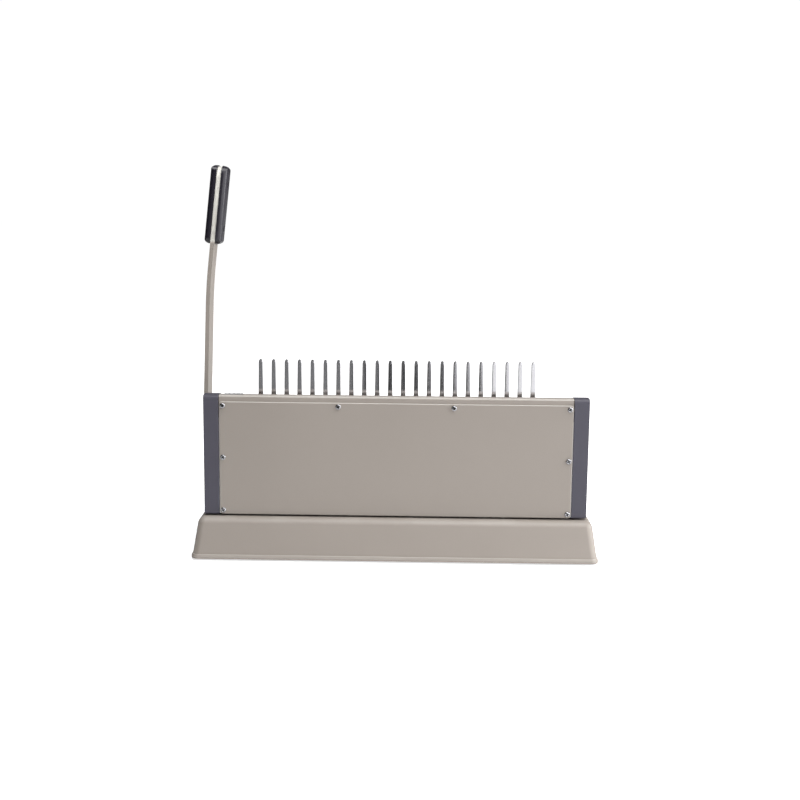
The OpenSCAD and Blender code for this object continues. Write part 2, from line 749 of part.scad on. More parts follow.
module handle_arm() {
    color([0.72, 0.69, 0.64]) difference() {
        intersection() {
            along_y(shaft_y - 20, shaft_y + 20) polygon(concat(bar_line, reversed(other_face(bar_line, bar_t))));
            along_x(arm_x - 40, arm_x + 10) bar_side();
        }
        translate([0, shaft_y, shaft_z]) {
            rod_x(half_w, half_w + 20, shaft_r);
            rod_x(arm_out - bolt_sink, half_w + 20, 9);
        }
        in_grip() for (s = grip_screw_at) translate([-10, 0, s]) rod_x(0, 20, 1.6);
    }
}

// Flat bolt sunk flush in the bar, its shank in the end of the shaft
module handle_bolt() {
    color([0.60, 0.61, 0.63]) translate([arm_out - bolt_sink, shaft_y, shaft_z]) rotate([0, 90, 0]) difference() {
        union() {
            cylinder(h = bolt_sink, r = 8.7);
            translate([0, 0, -14]) cylinder(h = 14, r = 2.5);
        }
        translate([0, 0, bolt_sink - 1.2]) cylinder(h = 2, r = 3, $fn = 6);
    }
}

grip_screw_at = [18, 66];

// The grip's own frame: origin on the bar's middle at the grip's foot, Z along the bar
module in_grip() {
    translate([arm_x - bend_shift(grip_z), shaft_y, grip_z]) rotate([0, -lean, 0]) children();
}

module grip_half() {
    intersection() {
        linear_extrude(grip_len) intersection() {
            translate([bar_t / 2 + 0.03, -grip_w / 2]) square([grip_t, grip_w]);
            polygon(rounded([[0, -grip_w / 2, 0], [bar_t / 2 + grip_t, -grip_w / 2, 5],
                [bar_t / 2 + grip_t, grip_w / 2, 5], [0, grip_w / 2, 0]]));
        }
        along_y(-20, 20) polygon(rounded([[0, 0, 0], [bar_t / 2 + grip_t, 0, 6],
            [bar_t / 2 + grip_t, grip_len, 6], [0, grip_len, 0]]));
        along_x(0, 20) polygon(rounded([[-grip_w / 2, 0, 9], [grip_w / 2, 0, 9],
            [grip_w / 2, grip_len, 9], [-grip_w / 2, grip_len, 9]]));
    }
}

module grip(side) {
    in_grip() difference() {
        if (side > 0) grip_half(); else mirror([1, 0, 0]) grip_half();
        for (s = grip_screw_at) translate([0, 0, s]) {
            rod_x(-20, 20, 1.6);
            rod_x(side > 0 ? bar_t / 2 + grip_t - 3 : -20, side > 0 ? 20 : -bar_t / 2 - grip_t + 3, 3.4);
        }
    }
}

module outer_grip() { color([0.19, 0.18, 0.21]) grip(1); }

module inner_grip() { color([0.19, 0.18, 0.21]) grip(-1); }

module grip_screws() {
    reach = bar_t / 2 + grip_t - 3;
    color([0.70, 0.70, 0.71]) in_grip() for (s = grip_screw_at) translate([0, 0, s]) {
        translate([reach, 0, 0]) rotate([0, 90, 0]) pan_screw(head_r = 3, head_h = 1.8, shank_r = 1.6, len = 2 * reach);
        translate([-reach - 2, 0, 0]) rotate([0, 90, 0]) difference() {
            cylinder(h = 2, r = 3, $fn = 6);
            translate([0, 0, -1]) cylinder(h = 4, r = 1.6);
        }
    }
}

// ---------- Comb opener ----------

module comb_tines() {
    color([0.78, 0.78, 0.80]) for (x = tine_xs) translate([x, 0, 0]) along_y(tine_y - 1.25, tine_y + 1.25)
        polygon(rounded([[-tine_root_w / 2, tine_foot, 0], [tine_root_w / 2, tine_foot, 0],
            [tine_tip_w / 2, tine_top, 2.1], [-tine_tip_w / 2, tine_top, 2.1]]));
}

module comb_rail() {
    color([0.58, 0.59, 0.61]) difference() {
        union() {
            box([-web_x, tine_y + 1.25, deck_z - 28], [web_x, tine_y + 4.25, deck_z - 6]);
            box([-web_x, tine_y + 1.25, deck_z - 31], [web_x, tine_y + 16, deck_z - 28]);
        }
        for (x = rail_screw_xs) translate([x, tine_y + 5, tine_foot + 4]) rotate([90, 0, 0]) cylinder(h = 6, r = 1.6);
    }
}

// One screw through each second tine
rail_screw_xs = [for (i = [0:2:holes]) tine_xs[i]];

module comb_rail_screws() {
    color([0.70, 0.70, 0.71]) for (x = rail_screw_xs) translate([x, tine_y + 4.25, tine_foot + 4]) rotate([-90, 0, 0])
        pan_screw(head_r = 2.8, head_h = 1.6, shank_r = 1.5, len = 3);
}

module opener_rails() {
    color([0.85, 0.84, 0.80]) both_sides() difference() {
        box([rail_x, hook_y - hook_travel - 9, hook_plate_z - 3], [web_x, hook_y + 4, deck_z - 2 * sheet_t - 0.2]);
        box([rail_x - 1, hook_y - hook_travel - 10, hook_plate_z - 0.2], [web_x - 4, hook_y + 5, hook_plate_z + 2.2]);
    }
}

module hook_plate() {
    color([0.66, 0.67, 0.69]) box([-web_x + 4.5, hook_y - 7, hook_plate_z], [web_x - 4.5, hook_y + 3, hook_plate_z + 2]);
}

module opener_hooks() {
    color([0.78, 0.78, 0.80]) for (x = hole_xs) along_x(x - 2, x + 2)
        polygon(rounded([[hook_y - 1, hook_plate_z + 2, 0], [hook_y + 1, hook_plate_z + 2, 0],
            [hook_y + 1, deck_z + 12, 2], [hook_y - 6.5, deck_z + 12, 0.6], [hook_y - 6.5, deck_z + 10, 0.6],
            [hook_y - 1, deck_z + 10, 0.6]], steps = 4));
}

module opener_ears() {
    pin_z = shaft_z + crank_r * cos(crank_angle);
    slot_w = 3 + 0.45;
    color([0.60, 0.61, 0.63]) both_sides() difference() {
        along_x(ear_x - 0.5, ear_x + 1.5) polygon(rounded([[hook_y - 6, hook_plate_z, 0], [hook_y + 3, hook_plate_z, 0],
            [hook_y + 3, hook_plate_z - 8, 4], [slot_y + 8, pin_z - 8, 4], [slot_y - 8, pin_z - 8, 4],
            [slot_y - 8, pin_z + 9, 4], [hook_y - 10, hook_plate_z - 6, 3]]));
        for (z = [pin_z - 0.8, pin_z + 3.8]) translate([0, slot_y, z]) rod_x(ear_x - 1, ear_x + 2, slot_w);
        box([ear_x - 1, slot_y - slot_w, pin_z - 0.8], [ear_x + 2, slot_y + slot_w, pin_z + 3.8]);
    }
}

// ---------- Margin stop ----------

module depth_bar() {
    color([0.66, 0.67, 0.69]) {
        box([-throat_x + 3, stop_front, die_top + 0.2], [throat_x - 3, stop_flange, guide_lo - 0.2]);
        both_sides() box([throat_x - 22, stop_flange - 2, die_top + 0.2], [throat_x - 3, stop_flange, dial_z + 4]);
    }
}

module depth_rod() {
    color([0.72, 0.73, 0.74]) translate([0, dial_y, dial_z]) rod_x(-half_w - 3.6, web_x + web_t + 2, 3);
}

module depth_cams() {
    color([0.85, 0.84, 0.80]) both_sides() translate([0, dial_y, dial_z]) difference() {
        along_x(throat_x - 16, throat_x - 9) rotate(-90) cam_outline(stop_low - 0.08, stop_lift, stop_turn, 4.6);
        rod_x(throat_x - 17, throat_x - 8, 3);
    }
}

module depth_knob() {
    color([0.16, 0.16, 0.18]) translate([-half_w - 0.6, dial_y, dial_z]) rotate([0, -90, 0]) difference() {
        union() {
            knurled_knob(11, 4);
            translate([0, 0, 3.9]) cylinder(h = 1.3, r1 = 9.5, r2 = 8.7);
        }
        translate([0, 0, -1]) cylinder(h = 4, r = 3);
        translate([4.6, 0, 5.2]) cube([6, 1.2, 1.2], center = true);
    }
}

// ---------- Paper edge guide ----------

guide_y = -38;
guide_x = -157;
guide_travel = 14;

// Slot under the edge guide, cut through the table and the base between two heights
module guide_slot(z0, z1) {
    translate([guide_x, guide_y, z0]) linear_extrude(z1 - z0) {
        translate([-4, -2.2]) square([guide_travel + 8, 4.4]);
    }
}

module edge_guide() {
    color([0.16, 0.16, 0.18]) difference() {
        union() {
            along_x(guide_x - 8.5, guide_x + 8.5) polygon(rounded([[-92, channel_z + clear, 0.6], [-92, die_top + 6, 3],
                [-84, die_top + 9, 6], [6, die_top + 9, 2], [6, channel_z + clear, 0.6]], steps = 4));
            box([guide_x + 5.5, -92, channel_z + clear], [guide_x + 8.5, 6, die_top + 8]);
        }
        translate([guide_x, guide_y, 0]) cylinder(h = 100, r = 2 + clear);
    }
}

module guide_nut() {
    color([0.60, 0.61, 0.63]) translate([guide_x, guide_y, 0]) difference() {
        box([-8, -8, base_top - base_wall - 3.5], [8, 8, base_top - base_wall - 0.5]);
        cylinder(h = 100, r = 2);
    }
}

module guide_knob() {
    color([0.16, 0.16, 0.18]) translate([guide_x, guide_y, die_top + 9.2]) {
        knurled_knob(7, 8, 18);
        translate([0, 0, -(die_top + 9.2) + base_top - base_wall - 4.5])
            cylinder(h = die_top + 9.2 - base_top + base_wall + 4.5, r = 2 - run_fit);
    }
}

base_shell();
bottom_plate();
rubber_feet();
bottom_plate_screws();
drawer_rails();
paper_table();
left_side_frame();
right_side_frame();
frame_bolts();
tie_rods();
left_end_cap();
right_end_cap();
end_cap_screws();
top_cover();
opener_deck();
front_cover();
front_cover_screws();
rear_panel();
rear_panel_screws();
ring_gauge();
die_plate();
guide_plate();
die_spacers();
die_bolts();
guide_rods();
shaft_bushes();
comb_tines();
comb_rail();
comb_rail_screws();
opener_rails();
drive_shaft();
punch_cams();
opener_cranks();
crank_pins();
shaft_collars();
handle_hub();
handle_arm();
handle_bolt();
inner_grip();
outer_grip();
grip_screws();
punch_bar();
pin_retainer();
punch_pins();
carriage_bushes();
cam_pads();
return_springs();
hook_plate();
opener_hooks();
opener_ears();
depth_bar();
depth_rod();
depth_cams();
depth_knob();
edge_guide();
guide_nut();
guide_knob();
chip_drawer();
drawer_face();
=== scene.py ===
"""Looks for a manual comb binding machine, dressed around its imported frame."""

import sys
import json
import logging
import math
from dataclasses import dataclass, field
from enum import Enum
from functools import cache

import bmesh
import bpy
from mathutils import Matrix, Vector


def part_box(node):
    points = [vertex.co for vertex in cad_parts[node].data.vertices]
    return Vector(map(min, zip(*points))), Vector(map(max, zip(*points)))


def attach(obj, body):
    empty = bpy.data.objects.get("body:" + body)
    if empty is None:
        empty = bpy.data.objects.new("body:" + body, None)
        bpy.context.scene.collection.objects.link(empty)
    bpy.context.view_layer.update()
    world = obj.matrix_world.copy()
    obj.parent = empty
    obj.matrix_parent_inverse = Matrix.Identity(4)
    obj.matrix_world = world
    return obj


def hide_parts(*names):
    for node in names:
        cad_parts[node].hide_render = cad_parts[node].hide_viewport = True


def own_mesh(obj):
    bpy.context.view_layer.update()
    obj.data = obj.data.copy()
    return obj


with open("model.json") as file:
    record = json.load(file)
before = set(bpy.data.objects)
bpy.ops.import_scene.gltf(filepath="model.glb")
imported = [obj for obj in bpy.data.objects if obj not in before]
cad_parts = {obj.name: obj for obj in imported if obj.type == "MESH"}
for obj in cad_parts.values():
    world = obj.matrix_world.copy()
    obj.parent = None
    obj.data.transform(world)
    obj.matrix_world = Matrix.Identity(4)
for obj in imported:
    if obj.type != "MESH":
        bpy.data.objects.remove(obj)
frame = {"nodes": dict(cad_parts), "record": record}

Colour = tuple[float, float, float]
Link = bpy.types.NodeSocket
Tree = bpy.types.NodeTree
Object = bpy.types.Object
Material = bpy.types.Material

log = logging.getLogger("comb_binder")

MM = 0.001
NEAR = 1e-5
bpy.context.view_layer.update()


class Grain(Enum):
    """Which way a machined or drawn surface is grained."""

    ALONG_X = (0.04, 1.0, 1.0)
    ALONG_Z = (1.0, 1.0, 0.04)
    TURNED = (0.6, 0.6, 0.6)


# ---------------------------------------------------------------- shader building


class Graph:
    """A short hand for placing and joining shader nodes in one tree."""

    def __init__(self, tree: Tree) -> None:
        """Wraps a node tree.

        Args:
            tree: the tree to build in.
        """
        self.tree = tree
        self.count = 0

    def node(self, kind: str, **settings: object) -> bpy.types.Node:
        """Adds a node.

        Args:
            kind: the node's type name.
            settings: properties set on it by name.

        Returns:
            The new node.
        """
        made = self.tree.nodes.new(kind)
        for name, value in settings.items():
            setattr(made, name, value)
        made.location = (180 * (self.count % 8), -220 * (self.count // 8))
        self.count += 1
        return made

    def feed(self, socket: Link, value: object) -> None:
        """Gives a socket a link or a value.

        Args:
            socket: the input to fill.
            value: an output to link, or a plain value.
        """
        if isinstance(value, Link):
            self.tree.links.new(value, socket)
        else:
            socket.default_value = value

    def fill(self, node: bpy.types.Node, **values: object) -> None:
        """Feeds a node's inputs by name, with underscores for spaces."""
        for key, value in values.items():
            self.feed(node.inputs[key.replace("_", " ")], value)

    def maths(self, operation: str, first: object, second: object = 0.0, clamp: bool = False) -> Link:
        """Adds a Math node.

        Args:
            operation: the operation's name.
            first: its first input.
            second: its second input.
            clamp: keep the result between 0 and 1.

        Returns:
            The node's output.
        """
        made = self.node("ShaderNodeMath", operation=operation, use_clamp=clamp)
        self.feed(made.inputs[0], first)
        self.feed(made.inputs[1], second)
        return made.outputs[0]

    def times(self, first: object, second: object) -> Link:
        """Returns the product of two values."""
        return self.maths("MULTIPLY", first, second)

    def spread(self, value: object, low: object, high: object, to_low: object, to_high: object) -> Link:
        """Maps a range of values smoothly to another.

        Args:
            value: the value to map.
            low: where the range starts.
            high: where it ends.
            to_low: the result at its start.
            to_high: the result at its end.

        Returns:
            The mapped value.
        """
        made = self.node("ShaderNodeMapRange", interpolation_type="SMOOTHSTEP")
        self.fill(made, Value=value, From_Min=low, From_Max=high, To_Min=to_low, To_Max=to_high)
        return made.outputs["Result"]

    def noise(self, scale: object, detail: float, stretch: object = None, rough: float = 0.55) -> Link:
        """Adds a noise on the object's own coordinates.

        Args:
            scale: how fine the noise is, per metre.
            detail: how many finer octaves it has.
            stretch: a factor for each axis, or None.
            rough: how strong the finer octaves are.

        Returns:
            The noise value, about 0.5 on average.
        """
        where = self.node("ShaderNodeTexCoord").outputs["Object"]
        if stretch is not None:
            mapping = self.node("ShaderNodeMapping")
            self.fill(mapping, Vector=where, Scale=stretch)
            where = mapping.outputs["Vector"]
        made = self.node("ShaderNodeTexNoise")
        self.fill(made, Vector=where, Scale=scale, Detail=detail, Roughness=rough)
        return made.outputs["Fac"]

    def mix(self, factor: object, first: object, second: object) -> Link:
        """Mixes two colours.

        Args:
            factor: how much of the second shows.
            first: a colour or a link.
            second: a colour or a link.

        Returns:
            The mixed colour.
        """
        made = self.node("ShaderNodeMix", data_type="RGBA")
        self.feed(made.inputs[0], factor)
        self.feed(made.inputs[6], self._solid(first))
        self.feed(made.inputs[7], self._solid(second))
        return made.outputs[2]

    @staticmethod
    def _solid(colour: object) -> object:
        """Returns a colour with its alpha, or the link unchanged."""
        return colour if isinstance(colour, Link) else (*colour, 1.0)


class Effects:
    """The shader groups that the finishes share. Each is built once, on first use."""

    @staticmethod
    def _group(name: str, inputs: dict[str, object],
               *outputs: str) -> tuple[Graph, dict[str, Link], bpy.types.Node]:
        """Starts a group with its sockets.

        Args:
            name: the group's name.
            inputs: the default value of each input, a float or a vector.
            outputs: the names of the outputs, which are values but for Normal.

        Returns:
            The graph, the group's inputs by name, and its output node.
        """
        tree = bpy.data.node_groups.new(name, "ShaderNodeTree")
        for key, value in inputs.items():
            kind = "NodeSocketFloat" if isinstance(value, float) else "NodeSocketVector"
            tree.interface.new_socket(key, in_out="INPUT", socket_type=kind).default_value = value
        for key in outputs:
            kind = "NodeSocketVector" if key == "Normal" else "NodeSocketFloat"
            tree.interface.new_socket(key, in_out="OUTPUT", socket_type=kind)
        graph = Graph(tree)
        entry = graph.node("NodeGroupInput")
        return graph, {key: entry.outputs[key] for key in inputs}, graph.node("NodeGroupOutput")

    @cache
    def mottle(self) -> Tree:
        """Uneven shade over a surface, from broad clouds and fine specks. Its Shade is about 1."""
        graph, given, leave = self._group(
            "Mottle", {"Broad": 6.0, "Fine": 160.0, "Amount": 0.05}, "Shade", "Cloud")
        cloud = graph.noise(given["Broad"], 3.0)
        speck = graph.noise(given["Fine"], 2.0)
        both = graph.maths("ADD", graph.times(cloud, 0.7), graph.times(speck, 0.3))
        swing = graph.times(graph.maths("SUBTRACT", both, 0.5), graph.times(given["Amount"], 4.0))
        graph.fill(leave, Shade=graph.maths("ADD", swing, 1.0),
                   Cloud=graph.spread(cloud, 0.35, 0.7, 0.0, 1.0))
        return graph.tree

    @cache
    def texture(self) -> Tree:
        """A fine raised texture, such as orange peel or grain, with the Relief its Normal comes from."""
        graph, given, leave = self._group(
            "Texture", {"Scale": 900.0, "Depth": 0.1, "Distance": 0.0002, "Stretch": (1.0, 1.0, 1.0)},
            "Normal", "Relief")
        relief = graph.noise(given["Scale"], 3.0, given["Stretch"], 0.6)
        bump = graph.node("ShaderNodeBump")
        graph.fill(bump, Strength=given["Depth"], Distance=given["Distance"], Height=relief)
        graph.fill(leave, Normal=bump.outputs["Normal"], Relief=relief)
        return graph.tree

    @cache
    def edge_wear(self) -> Tree:
        """Where a marked edge has rubbed through, read from the mesh's edge mark. Its Mask is 1 where
        bare; its Edge is the mark itself, which stoved paint also turns into a painted highlight.
        """
        graph, given, leave = self._group("Edge wear", {"Scale": 120.0, "Bare": 0.4}, "Mask", "Edge")
        mark = graph.node("ShaderNodeAttribute", attribute_name="edge_wear_and_highlight").outputs["Fac"]
        patch = graph.noise(given["Scale"], 4.0)
        start = graph.maths("SUBTRACT", 0.78, graph.times(given["Bare"], 0.5))
        bare = graph.spread(patch, start, graph.maths("ADD", start, 0.12), 0.0, 1.0)
        graph.fill(leave, Mask=graph.times(mark, bare), Edge=mark)
        return graph.tree

    @cache
    def dust(self) -> Tree:
        """Thin dust on faces that look up, as a Mask, and where hands have been, as a Smudge."""
        graph, given, leave = self._group("Dust", {"Scale": 25.0, "Amount": 0.2}, "Mask", "Smudge")
        facing = graph.node("ShaderNodeSeparateXYZ")
        graph.feed(facing.inputs[0], graph.node("ShaderNodeNewGeometry").outputs["Normal"])
        upward = graph.spread(facing.outputs["Z"], 0.2, 0.95, 0.0, 1.0)
        patch = graph.spread(graph.noise(given["Scale"], 5.0), 0.4, 0.75, 0.0, 1.0)
        graph.fill(leave, Mask=graph.times(graph.times(upward, patch), given["Amount"]),
                   Smudge=graph.times(patch, given["Amount"]))
        return graph.tree


EFFECTS = Effects()


class FinishKit:
    """Starts a material and places the shared groups in it for one finish."""

    def __init__(self, name: str) -> None:
        """Makes an empty material with its shader.

        Args:
            name: the material's name.
        """
        self.material = bpy.data.materials.new(name)
        self.material.use_nodes = True
        self.graph = Graph(self.material.node_tree)
        self.shader = self.material.node_tree.nodes["Principled BSDF"]

    def place(self, tree: Tree, **values: object) -> bpy.types.Node:
        """Places a group with its own values.

        Args:
            tree: the group.
            values: a value or a link for each named input.

        Returns:
            The group node.
        """
        made = self.graph.node("ShaderNodeGroup", node_tree=tree)
        self.graph.fill(made, **values)
        return made

    def shaded(self, colour: object, shade: Link) -> Link:
        """Darkens or lightens a colour by a shade about 1.

        Args:
            colour: the colour or a link.
            shade: the factor.

        Returns:
            The shaded colour.
        """
        made = self.graph.node("ShaderNodeVectorMath", operation="SCALE")
        self.graph.feed(made.inputs[0], colour)
        self.graph.feed(made.inputs["Scale"], shade)
        return made.outputs[0]

    def set(self, **values: object) -> None:
        """Gives the shader's sockets their values."""
        self.graph.fill(self.shader, **values)


@dataclass(frozen=True)
class StovedPaint:
    """Textured paint baked on sheet steel, rubbed to bright metal on its worked edges, with a painted
    highlight that lightens every marked edge towards a pale colour.
    """

    name: str
    colour: Colour
    roughness: float = 0.42
    peel: float = 0.12
    bare: float = 0.15
    dust: float = 0.12
    # how strongly marked edges are lightened by the painted highlight
    painted_edge_highlight: float = 0.32

    def make(self) -> Material:
        """Returns the finished material."""
        kit = FinishKit(self.name)
        graph = kit.graph
        mottle = kit.place(EFFECTS.mottle(), Broad=5.0, Fine=700.0, Amount=0.035)
        worn = kit.place(EFFECTS.edge_wear(), Scale=140.0, Bare=self.bare)
        dust = kit.place(EFFECTS.dust(), Scale=18.0, Amount=self.dust)
        paint = kit.shaded(self.colour, mottle.outputs["Shade"])
        # painted highlight: marked edges, rolled rims and the lip are mixed towards a pale colour
        lift = graph.times(worn.outputs["Edge"], self.painted_edge_highlight)
        highlighted_paint = graph.mix(lift, paint, (0.78, 0.76, 0.72))
        dusty = graph.mix(dust.outputs["Mask"], highlighted_paint, (0.74, 0.72, 0.68))
        rough = graph.maths("ADD", graph.times(mottle.outputs["Cloud"], 0.07), self.roughness)
        rough = graph.maths("ADD", rough, graph.times(dust.outputs["Smudge"], 0.25))
        peel = kit.place(EFFECTS.texture(), Scale=1400.0, Depth=self.peel, Distance=0.0002)
        kit.set(Base_Color=graph.mix(worn.outputs["Mask"], dusty, (0.62, 0.60, 0.57)),
                Roughness=rough,
                Metallic=graph.times(worn.outputs["Mask"], 0.9),
                Normal=peel.outputs["Normal"])
        return kit.material


@dataclass(frozen=True)
class Steel:
    """Bare or plated steel with a grain, from rolled sheet to polished plate."""

    name: str
    colour: Colour
    roughness: float = 0.35
    grain: Grain = Grain.ALONG_X
    fineness: float = 1200.0
    depth: float = 0.12
    stain: float = 0.08

    def make(self) -> Material:
        """Returns the finished material."""
        kit = FinishKit(self.name)
        graph = kit.graph
        mottle = kit.place(EFFECTS.mottle(), Broad=12.0, Fine=300.0, Amount=self.stain)
        brushing = kit.place(EFFECTS.texture(), Scale=self.fineness, Depth=self.depth, Distance=0.0001,
                             Stretch=self.grain.value)
        worn = kit.place(EFFECTS.edge_wear(), Scale=90.0, Bare=0.6)
        metal = kit.shaded(self.colour, mottle.outputs["Shade"])
        bright = graph.mix(graph.times(worn.outputs["Mask"], 0.35), metal, (0.86, 0.86, 0.87))
        rough = graph.maths("ADD", graph.times(brushing.outputs["Relief"], 0.16), self.roughness - 0.08)
        rough = graph.maths("ADD", rough, graph.times(mottle.outputs["Cloud"], 0.05), clamp=True)
        kit.set(Base_Color=bright, Roughness=rough, Metallic=1.0, Normal=brushing.outputs["Normal"])
        return kit.material


@dataclass(frozen=True)
class MouldedPlastic:
    """Moulded plastic with a spark-eroded grain, polished where it is handled."""

    name: str
    colour: Colour
    roughness: float = 0.5
    grain_scale: float = 1800.0
    depth: float = 0.2
    scuff: float = 0.2
    dust: float = 0.08

    def make(self) -> Material:
        """Returns the finished material."""
        kit = FinishKit(self.name)
        graph = kit.graph
        mottle = kit.place(EFFECTS.mottle(), Broad=9.0, Fine=500.0, Amount=0.06)
        grain = kit.place(EFFECTS.texture(), Scale=self.grain_scale, Depth=self.depth, Distance=0.00025)
        worn = kit.place(EFFECTS.edge_wear(), Scale=70.0, Bare=0.5)
        dust = kit.place(EFFECTS.dust(), Scale=22.0, Amount=self.dust)
        body = kit.shaded(self.colour, mottle.outputs["Shade"])
        pale = tuple(min(1.0, channel * 1.8 + 0.03) for channel in self.colour)
        scuffed = graph.mix(graph.times(worn.outputs["Mask"], self.scuff), body, pale)
        dusty = graph.mix(dust.outputs["Mask"], scuffed, (0.62, 0.60, 0.57))
        rough = graph.maths("ADD", graph.times(mottle.outputs["Cloud"], -0.08), self.roughness)
        rough = graph.maths("SUBTRACT", rough, graph.times(worn.outputs["Edge"], 0.08), clamp=True)
        kit.set(Base_Color=dusty, Roughness=rough, Normal=grain.outputs["Normal"])
        return kit.material


FINISHES = {
    "beige_paint": StovedPaint("Beige stoved paint", (0.298, 0.264, 0.235), 0.38),
    "steel": Steel("Zinc plated sheet steel", (0.58, 0.59, 0.60), 0.38),
    "bright_steel": Steel("Polished plated steel", (0.80, 0.80, 0.82), 0.20, Grain.ALONG_Z, 900.0, 0.05,
                          0.03),
    "dark_steel": Steel("Ground tool steel", (0.32, 0.33, 0.35), 0.42, Grain.ALONG_X, 1500.0, 0.2, 0.15),
    "cap_plastic": MouldedPlastic("Slate moulded plastic", (0.055, 0.052, 0.074), 0.58),
    "grip_plastic": MouldedPlastic("Black grip moulding", (0.018, 0.016, 0.024), 0.30, 1500.0, 0.06,
                                   0.3, 0.02),
    "black_plastic": MouldedPlastic("Black moulded plastic", (0.03, 0.03, 0.035), 0.5),
    "pale_plastic": MouldedPlastic("Natural nylon", (0.62, 0.60, 0.54), 0.45),
    "bronze": Steel("Sintered bronze", (0.60, 0.38, 0.16), 0.45, Grain.TURNED, 2200.0, 0.3, 0.12),
    "rubber": MouldedPlastic("Foot rubber", (0.02, 0.02, 0.02), 0.8, 2500.0, 0.35, 0.1, 0.2),
    "tine_steel": Steel("Satin tine steel", (0.74, 0.74, 0.77), 0.13, Grain.ALONG_Z, 900.0, 0.015, 0.015),
    "screw_steel": Steel("Nickelled screw steel", (0.44, 0.44, 0.46), 0.24, Grain.TURNED, 900.0, 0.03,
                         0.03),
    # painted shade for the deep faces of the screw recesses
    "recess": MouldedPlastic("Painted shade in a recess", (0.012, 0.011, 0.010), 0.9, 2500.0, 0.3, 0.0, 0.0),
    # a painted highlight: the bar inside the grip, lighter than the same bar's beige paint
    "grip_bar_highlight": MouldedPlastic("Painted highlight on the grip bar", (0.82, 0.80, 0.74), 0.35, 1500.0, 0.05, 0.1, 0.0),
}


class Paintbox:
    """Hands out the finish of each material slot, made once."""

    def __init__(self) -> None:
        """Reads each node's slot from the record."""
        rows = frame["record"]["subparts"]
        self.slot_of: dict[str, str] = {row["node"]: row["material_slot"] for row in rows}

    @cache
    def finish(self, slot: str) -> Material:
        """Returns the material of a slot, made on first use."""
        return FINISHES[slot].make()

    def dress_frame(self) -> None:
        """Gives every frame node the finish of its slot."""
        for name, piece in frame["nodes"].items():
            for place in piece.material_slots:
                place.material = self.finish(self.slot_of[name])
            if not piece.material_slots:
                piece.data.materials.append(self.finish(self.slot_of[name]))
            log.info("frame node %s: %s", name, self.slot_of[name])


PAINTS = Paintbox()
BODY_OF = {node: body for body, nodes in frame["record"]["behaviour"]["bodies"].items() for node in nodes}


# ---------------------------------------------------------------- modelling


